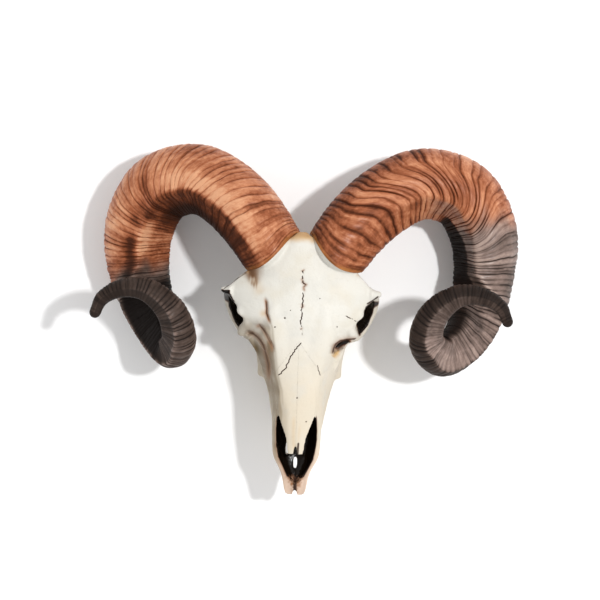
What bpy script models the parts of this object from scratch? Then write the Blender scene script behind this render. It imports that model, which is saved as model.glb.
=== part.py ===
"""Skull of a ram with its two curled horns, at life size, lying face up on its horns and cheek teeth.

Axes: +X to the skull's own left, -Y towards the muzzle, +Z out of the forehead. The origin is the middle
of the floor under the model. Sizes are written in millimetres and become metres where a mesh is made.
"""

import math

import bmesh
import bpy
import numpy as np
from mathutils import Matrix, Vector

# ---------------------------------------------------------------- driving dimensions, in millimetres
MM = 0.001
WELD = 0.004                # points closer than this become one
SHARP_ANGLE = 42            # degrees; an edge that turns further than this is shaded sharp
SEAM = 0.3                  # open suture between two bones, and between horn and bone
CLAY_VOXEL = 1.7            # grain of the first, unioned shape
BONE_VOXEL = 1.5            # grain of the carved shape before it is thinned out
SKULL_FACES = 3900          # faces left on the whole skull before it is parted

# The horn's axis: (x, y, z, half width) from the base over the arch, down the arm, round the curl to the tip.
HORN_AXIS = (
    (28, 61, 83, 31.5),     # base, on the forehead
    (45, 85, 78, 32.5),
    (71, 111, 65, 33.5),
    (104, 127, 53, 34),     # top of the arch
    (140, 118, 43, 34),
    (160, 82, 36, 33),      # outermost, on the floor
    (161, 46, 31, 30),
    (156, 12, 33, 26.5),
    (145, -15, 46, 22),
    (126, -31, 64, 19.2),   # foot of the curl
    (111.5, -17, 87, 16.6),
    (118.5, 8, 101, 14.2),  # inner turn, towards the viewer
    (142, 25, 106, 11),
    (166, 23, 106, 8.8),
    (179, 14, 105, 7.2),
    (184, 3, 104, 5.4),     # tip
)
# Rows of that axis, by number, where the right horn is slimmer and stands closer in.
RIGHT_ROWS = {7: (151, 12, 33, 25.2), 8: (138, -15, 46, 19.5), 9: (122.5, -31, 64, 17.2)}
HORN_LEAN = 0.09            # both horns lean to +X by this share of their depth under the forehead
LEAN_LEVEL = 105            # height where that lean starts
HORN_RINGS = 42
HORN_SIDES = 16
SECTION_FLAT = 0.03         # how much deeper than wide a section is
# Where the keel is: (distance along the horn, degrees from the top of the section towards the inside).
KEEL = ((0, 32), (60, 29), (110, 26), (190, 18), (226, 14), (238, -4), (250, -44), (262, -74), (280, -84),
        (300, -76), (318, -54), (334, -22), (350, 4), (412, 10), (470, 0))
KEEL_CREST = (0.045, 10)    # height of its crest over the half width, and how many degrees it covers
CREST_GROWS = ((0, 0.1), (60, 0.4), (120, 1))           # (distance along the horn, share of that height)
# The flat inner face beyond the keel: (distance along the horn, half the degrees that it spans).
INNER_FACE = ((0, 13), (40, 23), (85, 35), (190, 38), (235, 40), (262, 50), (290, 52), (310, 44), (350, 37),
              (412, 31), (470, 14))
FACE_EDGE = 34              # how sharply that face meets the round of the horn
TIP_TURNS = (0, 30, 58, 80) # degrees round the blunt end of the horn where it has a ring
HORN_LIP = ((0, 0.03), (0, 0.76), (1.2, 0.87), (3.5, 0.95)) # its mouth: (distance along, share of width)
MOUTH_BULGE = {1: 14, -1: 13}   # how far the front of the mouth reaches over the forehead, left and right
BULGE_ANGLE = 15            # degrees; where it reaches furthest
PEDICLE_LENGTH = 22         # stump of bone under the horn's mouth
PEDICLE_RADII = (15, 25)    # its radii inside the skull and at the mouth
MOUTH_CUT = (1.25, 60)      # share of the horn's width, and length, cleared of bone at its mouth

# Roof of the skull: (y, half width, height in the middle, height at the edge, thickness), rear to front.
FRONTAL = (
    (79, 4, 101, 100, 12),
    (74, 9, 104, 102, 22),
    (60, 27, 106, 100, 30),
    (42, 52, 106, 91, 30),
    (32, 62, 105.5, 85, 24),
    (25, 70, 105, 80, 15),  # tips of the brow, behind the eye sockets
    (18, 64, 104.5, 82, 13),
    (8, 55, 104, 87, 16),
    (-4, 49, 103, 87, 20),
    (-16, 42, 102.5, 82, 26),
    (-34, 28, 101, 88, 24),
)
# Face: (y, roof half width, roof height, cheek half width, cheek height, base half width, base height).
FACE = (
    (48, 20, 98, 26, 78, 18, 46),
    (25, 24, 101, 26, 78, 18, 40),
    (5, 30, 101, 29, 74, 21, 34),
    (-12, 31, 101, 41, 66, 25, 23),
    (-32, 23, 100, 37, 55, 27, 17),
    (-50, 18.5, 98.5, 34.5, 48, 27, 17.5),
    (-62, 16.5, 97, 30, 48, 25.5, 20),
    (-76, 16.5, 94.5, 25.5, 54, 23, 24.5),
    (-90, 19, 89.5, 23, 60, 20, 30),
    (-106, 19.8, 84, 21.6, 63, 17, 39),
    (-124, 17.6, 79, 19.2, 65, 14, 48),
    (-141, 10, 76, 11.8, 66, 10.3, 56),
    (-151, 9, 74.5, 10.2, 67, 9.6, 59.5),
    (-157, 7.6, 72.5, 9.6, 67, 8.6, 61),
    (-160.5, 5, 70, 7, 67, 6, 63),
)
# Nasal bones: (y, half width, height in the middle, height at the edge, thickness).
NASAL = (
    (-40, 16, 100.5, 98, 10),
    (-70, 17, 98.5, 94.5, 7),
    (-84, 17, 97.5, 92.5, 4.4),
    (-95, 13.8, 96.5, 92.5, 4),
    (-106, 9.6, 95.5, 92.5, 3.8),
    (-121, 7.2, 94, 92, 3.2),
)
NASAL_NOTCH = (2.2, -121, 12)           # half width, tip and length of the notch between the nasal tips
NASAL_BED = (88.5, 88)                  # height of the bed of the nasal bones at its front and rear
NASAL_OUTLINE = ((0, -19), (21, -48), (18.8, -78), (17.6, -86), (17, -130), (0, -130))  # seen from above
# Nasal cavity: (y, half width, floor height, ceiling height).
NASAL_CAVITY = (
    (-58, 8, 70, 82),
    (-74, 13, 62, 86),
    (-82, 15.2, 59, 92),
    (-88, 16.6, 58, 104),
    (-100, 17.8, 58, 110),
    (-118, 16.8, 60, 110),
    (-128, 14.6, 62, 110),
    (-136, 10.6, 63.5, 110),
    (-144, 6, 66, 110),
    (-149, 2.2, 69, 110),
)
# Slits through the palate, and the notch between the muzzle's two ends: x, y, half width, half length.
PALATE_SLITS = ((8.1, -119, 1.5, 9.5), (0, -131, 1.9, 8), (0, -162, 2, 8))
PALATE_VAULT = ((0, -52, 14), (17, 62, 15))             # hollow between the tooth rows: centre, radii

EYE_CENTRE = (56, 4, 63)
EYE_NORMAL = (0.85, -0.43, 0.29)        # out of the socket: sideways, forwards and up
EYE_RING = (22, 4.6)                    # radius of the rim and of its roll
EYE_SOCKET = (19.5, 27, 9)              # radius, depth, and how far the hollow stands out past the rim
TEAR_PIT = ((37, -22.5, 80), (10, 3.6, 8), 38)         # hollow before the left eye: centre, radii, turn
LEFT_FLANK = ((49.5, -29, 62), (10, 12, 26))            # hollow of the left cheek under it: centre, radii
# The front corner of each eye socket where it meets the roof: (x, y, z, radius), left and right.
EYE_CORNERS = (((43, -4, 87, 4.6), (46.5, -9, 82, 5), (48.5, -14, 75, 5)),
               ((-45, -4, 87, 4.6), (-51, -9, 82, 4.6), (-53, -14, 75, 4.6)))

TOOTH_LENGTHS = (19, 16.5, 14.5, 11, 10, 8.5)          # along the row, from the rear tooth forwards
TOOTH_ROW_REAR = -14                    # y where the row begins
TOOTH_X = (23, 18)                      # their places across, rear and front
TOOTH_WIDTH = (15.5, 10.5)              # across the row, rear and front
TOOTH_CROWN = (16, 1.25)                # rise of the chewing edge towards the front, and its curve
TOOTH_TALL = (30, 24)                   # crown and root together, rear and front
TOOTH_SPLIT = 0.5                       # open line between two crowns
TOOTH_CORNER = 0.26                     # rounding of its four upright edges, as a share of a tooth's size

TO_CENTRE = (-4.8, -0.6)    # brings the middle of the whole model over the origin
FACE_TURN = -0.65           # degrees; the bones are turned about the crown, so that the muzzle leans
CROWN = (0, 78)             # where that turn is centred, seen from above
CHEEK_SUTURE = ((-47, 92), (-7, 16))    # bone in front of and above this line in (y, z) is cheek bone
MUZZLE_SUTURE = ((-86, 96), (-121, 40))
BLOCK_REACH = 300           # how far the blocks that part the bones reach past the skull
BLOCK_HEIGHTS = (-40, 160)


# ---------------------------------------------------------------- curves, rings and closed meshes
def spline(stations, count):
    """Rows of a table carried on a smooth curve: Catmull-Rom through them, by distance, at count places."""
    rows = np.array(stations, float)
    width = min(rows.shape[1], 3)
    step = np.sqrt((np.diff(rows[:, :width], axis=0) ** 2).sum(1))
    knots = np.concatenate(([0], np.cumsum(step)))
    slopes = np.gradient(rows, knots, axis=0)
    at = np.linspace(0, knots[-1], count)
    left = np.clip(np.searchsorted(knots, at, side="right") - 1, 0, len(rows) - 2)
    span = (knots[left + 1] - knots[left])[:, None]
    t = (at - knots[left])[:, None] / span
    return ((2 * t ** 3 - 3 * t ** 2 + 1) * rows[left] + (t ** 3 - 2 * t ** 2 + t) * span * slopes[left]
            + (3 * t ** 2 - 2 * t ** 3) * rows[left + 1] + (t ** 3 - t ** 2) * span * slopes[left + 1])


def new_object(name, mesh, collection):
    thing = bpy.data.objects.new(name, mesh)
    collection.objects.link(thing)
    return thing


def loft(name, rings, collection):
    """A closed body from a stack of rings with equal point counts; each end is drawn to its middle point."""
    rings = np.asarray(rings, float)
    count, sides = rings.shape[:2]
    points = np.concatenate((rings.reshape(-1, 3), rings[:1].mean(1), rings[-1:].mean(1))) * MM
    faces = []
    for ring in range(count - 1):
        for side in range(sides):
            a, b = ring * sides + side, ring * sides + (side + 1) % sides
            faces.append((a, b, b + sides, a + sides))
    first, last = count * sides, count * sides + 1
    faces += [(first, (side + 1) % sides, side) for side in range(sides)]
    top = (count - 1) * sides
    faces += [(last, top + side, top + (side + 1) % sides) for side in range(sides)]
    mesh = bpy.data.meshes.new(name)
    mesh.from_pydata(points.tolist(), [], faces)
    shape = bmesh.new()
    shape.from_mesh(mesh)
    bmesh.ops.recalc_face_normals(shape, faces=shape.faces)
    shape.to_mesh(mesh)
    shape.free()
    return new_object(name, mesh, collection)


def ball(name, centre, radii, collection, turn=None):
    """An ellipsoid from Blender's sphere, turned by a matrix and moved to its centre."""
    shape = bmesh.new()
    bmesh.ops.create_uvsphere(shape, u_segments=24, v_segments=16, radius=1)
    scale = Matrix.Diagonal([*(r * MM for r in radii), 1])
    place = Matrix.Translation(Vector(centre) * MM) @ (turn or Matrix()) @ scale
    shape.transform(place)
    mesh = bpy.data.meshes.new(name)
    shape.to_mesh(mesh)
    shape.free()
    return new_object(name, mesh, collection)


def rod(name, start, end, radii, collection, sides=24):
    """A round bar or cone between two points, from Blender's cone."""
    start, end = Vector(start) * MM, Vector(end) * MM
    shape = bmesh.new()
    bmesh.ops.create_cone(shape, cap_ends=True, segments=sides, radius1=radii[0] * MM, radius2=radii[1] * MM,
                          depth=(end - start).length)
    turn = (end - start).to_track_quat("Z", "Y").to_matrix().to_4x4()
    shape.transform(Matrix.Translation((start + end) / 2) @ turn)
    mesh = bpy.data.meshes.new(name)
    shape.to_mesh(mesh)
    shape.free()
    return new_object(name, mesh, collection)


def tube(name, route, collection, flat=1.0, sides=14):
    """A bar of changing thickness along (x, y, z, radius) rows, with rounded ends; flat squeezes it in z."""
    path = spline(route, 6 * len(route))
    axis, radius = path[:, :3], path[:, 3].copy()
    along = np.gradient(axis, axis=0)
    along /= np.linalg.norm(along, axis=1)[:, None]
    across = np.cross(along, (0.02, 0.03, 1.0))
    across /= np.linalg.norm(across, axis=1)[:, None]
    up = np.cross(across, along)
    radius[[0, -1]] *= 0.45
    angle = np.linspace(0, 2 * math.pi, sides, endpoint=False)
    ring = np.cos(angle)[None, :, None] * across[:, None] + flat * np.sin(angle)[None, :, None] * up[:, None]
    return loft(name, axis[:, None] + radius[:, None, None] * ring, collection)


def block(name, outline, low, high, collection):
    """A flat outline in (x, y), filled and extruded between two heights; it is made as a filled 2D curve."""
    curve = bpy.data.curves.new(name, "CURVE")
    curve.dimensions = "2D"
    curve.fill_mode = "BOTH"
    curve.extrude = (high - low) / 2 * MM
    line = curve.splines.new("POLY")
    line.points.add(len(outline) - 1)
    for point, (x, y) in zip(line.points, outline):
        point.co = (x * MM, y * MM, 0, 1)
    line.use_cyclic_u = True
    guide = new_object(name + "_curve", curve, collection)
    guide.location.z = (low + high) / 2 * MM
    return made_mesh(guide, name, collection)


def made_mesh(source, name, collection):
    """A plain triangle mesh from what an object's modifiers or curve make; the source object is removed."""
    bpy.context.view_layer.update()
    graph = bpy.context.evaluated_depsgraph_get()
    mesh = bpy.data.meshes.new_from_object(source.evaluated_get(graph))
    mesh.transform(source.matrix_world)
    shape = bmesh.new()
    shape.from_mesh(mesh)
    bmesh.ops.triangulate(shape, faces=shape.faces)
    bmesh.ops.remove_doubles(shape, verts=shape.verts, dist=WELD * MM)
    bmesh.ops.dissolve_degenerate(shape, edges=shape.edges, dist=WELD * MM)
    bmesh.ops.triangulate(shape, faces=shape.faces)
    bmesh.ops.recalc_face_normals(shape, faces=shape.faces)
    shape.to_mesh(mesh)
    shape.free()
    bpy.data.objects.remove(source)
    return new_object(name, mesh, collection)


def joined(name, things, collection):
    """One object holding the meshes of several; they are removed."""
    shape = bmesh.new()
    for thing in things:
        shape.from_mesh(thing.data)
        bpy.data.objects.remove(thing)
    mesh = bpy.data.meshes.new(name)
    shape.to_mesh(mesh)
    shape.free()
    return new_object(name, mesh, collection)


def both_sides(make, name, *points, **more):
    """Calls make for the left side, at +X, and again for the right side with every x turned round."""
    mirrored = [tuple((-p[0],) + tuple(p[1:]) for p in group) if isinstance(group[0], (tuple, list))
                else (-group[0],) + tuple(group[1:]) for group in points]
    return [make(name + "_left", *points, **more), make(name + "_right", *mirrored, **more)]


def remesh(thing, voxel):
    change = thing.modifiers.new("union", "REMESH")
    change.mode = "VOXEL"
    change.voxel_size = voxel * MM
    return change


def cut(thing, cutter, operation="DIFFERENCE"):
    change = thing.modifiers.new("cut " + cutter.name, "BOOLEAN")
    change.operation = operation
    change.solver = "EXACT"
    change.object = cutter


# ---------------------------------------------------------------- horns
def horn_frame(side, count):
    """The horn's axis points, half widths, directions along it, towards the inside of the bend, and up."""
    rows = [RIGHT_ROWS.get(number, row) if side < 0 else row for number, row in enumerate(HORN_AXIS)]
    path = spline(rows, count)
    axis, width = path[:, :3], path[:, 3]
    along = np.gradient(axis, axis=0)
    along /= np.linalg.norm(along, axis=1)[:, None]
    inside = np.cross(along, (0, 0, 1))
    inside /= np.linalg.norm(inside, axis=1)[:, None]
    return axis, width, along, inside, np.cross(inside, along)


def horn_rings(side, count, sides):
    """The horn's rings of points: an oval a little deeper than wide, cut by the flat inner face beyond the
    keel and raised to a crest on it; and how far each angle takes part in the bulge of the mouth."""
    axis, width, along, inside, up = horn_frame(side, count)
    travel = np.concatenate(([0], np.cumsum(np.linalg.norm(np.diff(axis, axis=0), axis=1))))[:, None]
    off = np.linspace(-180, 180, sides, endpoint=False)[None]
    angle = np.radians(off + np.interp(travel, *np.array(KEEL, float).T))
    spread = np.radians(np.interp(travel, *np.array(INNER_FACE, float).T))
    oval = 1 + SECTION_FLAT * np.cos(2 * angle)
    face = np.cos(spread) / np.maximum(np.cos(np.radians(off) - spread), 0.2)
    reach = -np.log(np.exp(-FACE_EDGE * oval) + np.exp(-FACE_EDGE * face)) / FACE_EDGE
    height, cover = KEEL_CREST
    grown = np.interp(travel, *np.array(CREST_GROWS, float).T)
    reach = reach + height * grown * np.exp(-(off / cover) ** 2)
    spoke = np.cos(angle)[..., None] * up[:, None] + np.sin(angle)[..., None] * inside[:, None]
    bulge = np.maximum(np.cos(angle[0] - math.radians(BULGE_ANGLE)), 0) ** 2
    return axis[:, None] + (width[:, None] * reach)[..., None] * spoke, bulge


def mouth_ring(rings, bulge, side, rise, share, axis, along):
    """A ring in the horn's mouth: the first ring drawn in to a share of itself, bulging over the forehead."""
    reach = rise - MOUTH_BULGE[side] * share * bulge[:, None]
    return axis[0] + reach * along[0] + share * (rings[0] - axis[0])


def leaned(points):
    """Horn points moved sideways by their depth under the forehead, as the two horns of one ram differ."""
    points = points.copy()
    points[..., 0] += HORN_LEAN * (LEAN_LEVEL - points[..., 2])
    return points


def horn(name, side, collection):
    """One horn: its rings along the axis, a bulging mouth, and a far end turned in over a blunt tip."""
    axis, width, along, _, _ = horn_frame(side, HORN_RINGS)
    rings, bulge = horn_rings(side, HORN_RINGS, HORN_SIDES)
    turn = np.radians(TIP_TURNS)[1:, None, None]
    cap = axis[-1] + width[-1] * np.sin(turn) * along[-1] + np.cos(turn) * (rings[-1:] - axis[-1])
    lip = [mouth_ring(rings, bulge, side, rise, share, axis, along) for rise, share in HORN_LIP]
    rings = np.concatenate((lip, rings[1:], cap))
    rings[..., 0] *= side
    return loft(name, leaned(rings), collection)


def mouth_cutter(name, side, collection):
    """What clears bone out of one horn's mouth: the mouth's own surface, wider and a seam further back."""
    axis, _, along, _, _ = horn_frame(side, HORN_RINGS)
    rings, bulge = horn_rings(side, HORN_RINGS, HORN_SIDES)
    wide, long = MOUTH_CUT
    near = [mouth_ring(rings, bulge, side, -SEAM, share, axis, along) for share in (HORN_LIP[0][1], wide)]
    far = axis[0] + long * along[0] + wide * (rings[0] - axis[0])
    rings = np.array(near + [far])
    rings[..., 0] *= side
    return loft(name, leaned(rings), collection)


def mouth_bar(name, side, spans, radii, collection):
    """A round bar across the plane of the horn's mouth, leaned as the horn is, between two spans along it."""
    axis, _, along, inside, up = horn_frame(side, HORN_RINGS)
    angle = np.linspace(0, 2 * math.pi, 48, endpoint=False)
    spoke = np.cos(angle)[:, None] * up[0] + np.sin(angle)[:, None] * inside[0]
    rings = np.array([axis[0] + span * along[0] + radius * spoke for span, radius in zip(spans, radii)])
    rings[..., 0] *= side
    return loft(name, leaned(rings), collection)


# ---------------------------------------------------------------- the skull as one shape
def roof_ring(half, middle, edge, thick, sides=17):
    """(x, z) points of a curved plate's section: an arched top and a flatter underside, closed in a loop."""
    across = np.linspace(-1, 1, sides)
    top = middle - (middle - edge) * np.abs(across) ** 2.2
    under = top - thick * (1 - 0.75 * np.abs(across) ** 3)
    x = half * across
    return np.concatenate((np.stack((x, top), 1), np.stack((x[::-1], under[::-1]), 1)))


def plate(name, stations, collection, count=40):
    """A long curved plate lofted along y from (y, half width, middle, edge, thickness) stations."""
    rows = spline([(y, half, middle, edge, thick) for y, half, middle, edge, thick in stations], count)
    rings = []
    for y, half, middle, edge, thick in rows:
        ring = roof_ring(half, middle, edge, thick)
        rings.append(np.stack((ring[:, 0], np.full(len(ring), y), ring[:, 1]), 1))
    return loft(name, rings, collection)


def face_ring(roof, roof_z, cheek, cheek_z, base, base_z, sides=32):
    """(x, z) points round a section of the face: a smooth closed loop through its corners."""
    between = (roof + cheek) / 2 + 1, (roof_z + cheek_z) / 2 + 4
    half = [(0, roof_z + 0.6), (roof, roof_z - 2.5), between, (cheek, cheek_z), (base, base_z),
            (base * 0.55, base_z - 0.5)]
    other = [(-x, z) for x, z in half[:0:-1]]
    loop = half + other
    closed = np.array(loop + loop[:1], float)
    return spline(closed, sides + 1)[:-1]


def face_body(name, collection, count=46):
    """The face from the eye sockets to the muzzle, lofted through its table of sections."""
    rows = spline(FACE, count)
    rings = []
    for y, *sizes in rows:
        ring = face_ring(*sizes)
        rings.append(np.stack((ring[:, 0], np.full(len(ring), y), ring[:, 1]), 1))
    return loft(name, rings, collection)


def eye_axes(side):
    """Turn matrix whose z axis points out of the eye socket on one side."""
    out = Vector((EYE_NORMAL[0] * side, EYE_NORMAL[1], EYE_NORMAL[2])).normalized()
    return out, out.to_track_quat("Z", "Y").to_matrix().to_4x4()


def eye_ring(name, side, collection):
    """The raised rim of the eye socket, from Blender's torus."""
    _, turn = eye_axes(side)
    bpy.ops.mesh.primitive_torus_add(major_radius=EYE_RING[0] * MM, minor_radius=EYE_RING[1] * MM,
                                     major_segments=36, minor_segments=12)
    made = bpy.context.active_object
    place = Matrix.Translation(Vector((EYE_CENTRE[0] * side, *EYE_CENTRE[1:])) * MM) @ turn
    made.data.transform(place)
    mesh = made.data
    bpy.data.objects.remove(made)
    return new_object(name, mesh, collection)


def tooth_row(name, side, collection):
    """One row of upper cheek teeth: blocks that grow smaller forwards, narrower where they enter the jaw."""
    total = sum(TOOTH_LENGTHS)
    done = 0
    row = []
    for length in TOOTH_LENGTHS:
        shape = bmesh.new()
        bmesh.ops.create_cube(shape, size=1)
        uprights = [e for e in shape.edges if abs(e.verts[0].co.z - e.verts[1].co.z) > 0.5]
        bmesh.ops.bevel(shape, geom=uprights, offset=TOOTH_CORNER, segments=2, profile=0.5,
                        affect="EDGES")
        for vert in shape.verts:
            fx, fy, fz = vert.co
            forward = (done + length / 2 - fy * (length - TOOTH_SPLIT)) / total
            wide, tall = (a + (b - a) * forward for a, b in (TOOTH_WIDTH, TOOTH_TALL))
            x = TOOTH_X[0] + (TOOTH_X[1] - TOOTH_X[0]) * forward + fx * wide * (1 - 0.25 * (fz + 0.5))
            z = TOOTH_CROWN[0] * forward ** TOOTH_CROWN[1] + tall * (fz + 0.5)
            vert.co = (x * MM, (TOOTH_ROW_REAR - forward * total) * MM, z * MM)
        if side < 0:
            shape.transform(Matrix.Diagonal((-1, 1, 1, 1)))
        bmesh.ops.recalc_face_normals(shape, faces=shape.faces)
        mesh = bpy.data.meshes.new("tooth")
        shape.to_mesh(mesh)
        shape.free()
        row.append(new_object("tooth", mesh, collection))
        done += length
    return joined(name, row, collection)


def skull_clay(collection):
    """Every raised form of the skull as closed shapes that run into each other."""
    clay = [plate("frontal", FRONTAL, collection), face_body("face", collection),
            plate("nasals", NASAL, collection, 24)]
    clay += [eye_ring("eye_rim_left", 1, collection), eye_ring("eye_rim_right", -1, collection)]
    clay.append(ball("braincase", (0, 40, 65), (33, 35, 33), collection))
    clay.append(ball("nuchal_plate", (0, 64, 62), (30, 10, 27), collection))
    clay.append(ball("nuchal_base", (0, 60, 44), (38, 12, 13), collection))
    clay.append(tube("skull_base", ((0, 70, 42, 11), (0, 40, 38, 11), (0, 12, 38, 10), (0, -4, 40, 9)),
                     collection))
    clay += both_sides(ball, "condyle", (12.5, 67, 37), radii=(9.5, 9, 11), collection=collection)
    clay += both_sides(ball, "ear_bulla", (21, 46, 31), radii=(9, 12, 11), collection=collection)
    clay += both_sides(ball, "mastoid", (34, 54, 46), radii=(9, 11, 12), collection=collection)
    clay += both_sides(tube, "jugular_process",
                       ((31, 60, 46, 7), (31, 60, 32, 6), (28, 58, 20, 4.2), (25, 56, 12, 2.6)),
                       collection=collection)
    clay += both_sides(tube, "ear_canal", ((28, 46, 50, 6), (36, 45, 53, 5.5), (43, 44, 56, 5)),
                       collection=collection)
    clay += both_sides(tube, "cheek_arch",
                       ((41, -16, 50, 8), (54, -8, 44, 6.5), (62, 8, 42, 5.2), (59, 26, 45, 4.8),
                        (48, 40, 50, 5.2), (33, 48, 54, 7)), collection=collection)
    clay += both_sides(tube, "brow_bar",
                       ((65, 25, 79, 5), (66, 24, 66, 4.4), (63, 22, 54, 4.6), (61, 18, 45, 5)),
                       collection=collection)
    clay += both_sides(tube, "face_crest",
                       ((46, -12, 50, 6), (36.5, -27, 48, 5.4), (34, -42, 45, 5.4), (33.5, -54, 42, 5.6)),
                       collection=collection)
    clay += both_sides(tube, "tear_ridge",
                       ((46, -14, 76, 4.5), (38, -26, 72, 4), (31, -44, 68, 3.5)), collection=collection)
    clay += both_sides(ball, "eye_floor", (48, 2, 37), radii=(16, 19, 7.5), collection=collection)
    clay += both_sides(tube, "brow_spur", ((61, 25, 84, 6), (67, 25, 81, 4.2), (73, 25.5, 79, 2.4)),
                       collection=collection)
    clay += both_sides(ball, "brow_edge", (51, 7, 85), radii=(7, 6.5, 4), collection=collection)
    clay += [tube("eye_corner", route, collection) for route in EYE_CORNERS]
    clay += both_sides(tube, "pterygoid",
                       ((15, -16, 26, 6), (12, 0, 27, 3.6), (11, 16, 33, 4)), collection=collection)
    for side in (1, -1):
        clay.append(mouth_bar("pedicle", side, (-PEDICLE_LENGTH, 2), PEDICLE_RADII, collection))
    return joined("skull_clay", clay, collection)


def skull_hollows(collection):
    """Every hollow of the skull as closed shapes that run into each other."""
    hollow = []
    rows = spline(NASAL_CAVITY, 34)
    rings = []
    for y, half, floor, ceiling in rows:
        angle = np.linspace(0, 2 * math.pi, 24, endpoint=False)
        x = half * np.sign(np.cos(angle)) * np.abs(np.cos(angle)) ** 0.7
        rise = np.sign(np.sin(angle)) * np.abs(np.sin(angle)) ** 0.7
        z = (floor + ceiling) / 2 + (ceiling - floor) / 2 * rise
        rings.append(np.stack((x, np.full(24, y), z), 1))
    cavity = loft("nasal_cavity", rings, collection)
    radius, depth, stand = EYE_SOCKET
    for side in (1, -1):
        out, turn = eye_axes(side)
        centre = Vector((EYE_CENTRE[0] * side, *EYE_CENTRE[1:])) - out * (depth - stand) / 2
        radii = (radius, radius, (depth + stand) / 2 * 1.35)
        hollow.append(ball("eye_socket", centre, radii, collection, turn))
        hollow.append(ball("temporal_hollow", (48 * side, 28, 62), (17, 20, 16), collection))
    pit_centre, pit_radii, pit_angle = TEAR_PIT
    pit_turn = Matrix.Rotation(math.radians(pit_angle), 4, "Z")
    hollow.append(ball("tear_pit", pit_centre, pit_radii, collection, pit_turn))
    hollow.append(ball("left_flank", *LEFT_FLANK, collection))
    hollow.append(ball("palate_vault", *PALATE_VAULT, collection))
    hollow.append(rod("foramen_magnum", (0, 90, 52), (0, 34, 60), (11, 9), collection))
    hollow.append(ball("inner_nostrils", (0, 4, 28), (8.5, 20, 9), collection))
    return cavity, joined("skull_hollows", hollow, collection)


def palate_openings(collection):
    """The slits through the palate and the notch between the nasal tips, as one object."""
    made = []
    for x, y, half, long in PALATE_SLITS:
        for side in ((1, -1) if x else (1,)):
            made.append(ball("palate_slit", (x * side, y, 55), (half, long, 30), collection))
    half, tip, long = NASAL_NOTCH
    notch = ((-half, tip - 2), (half, tip - 2), (0, tip + long))
    made.append(block("nasal_notch", notch, 86, 110, collection))
    return joined("palate_openings", made, collection)


def whole_skull(collection, cutters):
    """The skull in one piece, without horns: forms united, hollows carved, edges softened, then thinned."""
    solid = skull_clay(collection)
    remesh(solid, CLAY_VOXEL)
    cavity, hollows = skull_hollows(cutters)
    remesh(hollows, CLAY_VOXEL)
    hollows = made_mesh(hollows, "skull_hollows", cutters)
    cut(solid, cavity)
    cut(solid, hollows)
    solid = made_mesh(solid, "carved", collection)
    solid = joined("roofed", [solid, plate("nasal_roof", NASAL, collection, 24)], collection)
    remesh(solid, BONE_VOXEL)
    cut(solid, palate_openings(cutters))
    solid = made_mesh(solid, "opened", collection)
    remesh(solid, BONE_VOXEL)
    soften = solid.modifiers.new("soften", "SMOOTH")
    soften.factor = 0.5
    soften.iterations = 5
    solid = made_mesh(solid, "smooth_skull", collection)
    thin = solid.modifiers.new("thin out", "DECIMATE")
    thin.ratio = SKULL_FACES / len(solid.data.polygons)
    return made_mesh(solid, "whole_skull", collection)


# ---------------------------------------------------------------- the sutures that part the skull
def line_block(name, line, front, half, collection):
    """Everything in front of (or behind) a slanted line in (y, z), as a prism between two x values."""
    (y0, z0), (y1, z1) = line
    low, high = BLOCK_HEIGHTS
    slope = (y1 - y0) / (z1 - z0)
    far = -BLOCK_REACH if front else BLOCK_REACH
    shift = (-SEAM if front else SEAM) / 2
    top, bottom = y0 + slope * (high - z0) + shift, y0 + slope * (low - z0) + shift
    shape = bmesh.new()
    corners = []
    for x in (half[0], half[1]):
        for y, z in ((bottom, low), (top, high), (far, high), (far, low)):
            corners.append(shape.verts.new((x * MM, y * MM, z * MM)))
    a, b = corners[:4], corners[4:]
    shape.faces.new(a)
    shape.faces.new(b)
    for i in range(4):
        shape.faces.new((a[i], a[(i + 1) % 4], b[(i + 1) % 4], b[i]))
    bmesh.ops.recalc_face_normals(shape, faces=shape.faces)
    mesh = bpy.data.meshes.new(name)
    shape.to_mesh(mesh)
    shape.free()
    return new_object(name, mesh, collection)


def bone(name, whole, blocks, collection):
    """A copy of a larger piece of skull cut down to what lies inside every block."""
    piece = new_object("uncut", whole.data.copy(), collection)
    for cutter in blocks:
        cut(piece, cutter, "INTERSECT")
        piece = made_mesh(piece, name, collection)
    return piece


def nasal_block(name, side, grow, collection):
    """The bed of one nasal bone, or of both when side is 0, seen from above and grown by part of a seam."""
    outline = [(x + (grow if x else 0), y + (grow if y > -100 else 0)) for x, y in NASAL_OUTLINE]
    if side:
        outline = [(side * max(x, SEAM / 2), y) for x, y in outline]
    else:
        outline = outline[:-1] + [(-x, y) for x, y in outline[:0:-1]]
    made = block(name, outline, 70, 130, collection)
    front, rear = NASAL_BED
    ends = NASAL_OUTLINE[0][1], NASAL_OUTLINE[-1][1]
    for vert in made.data.vertices:
        if vert.co.z < 100 * MM:
            along = (ends[0] - vert.co.y / MM) / (ends[0] - ends[1])
            vert.co.z = (rear + (front - rear) * along - grow) * MM
    return made


def moved(thing, x, y):
    """The object's mesh shifted level over the floor."""
    thing.data.transform(Matrix.Translation((x * MM, y * MM, 0)))


def turned(thing):
    """The object's mesh turned about the crown by the lean of the face."""
    crown = Matrix.Translation((CROWN[0] * MM, CROWN[1] * MM, 0))
    thing.data.transform(crown @ Matrix.Rotation(math.radians(FACE_TURN), 4, "Z") @ crown.inverted())
    return thing


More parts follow.
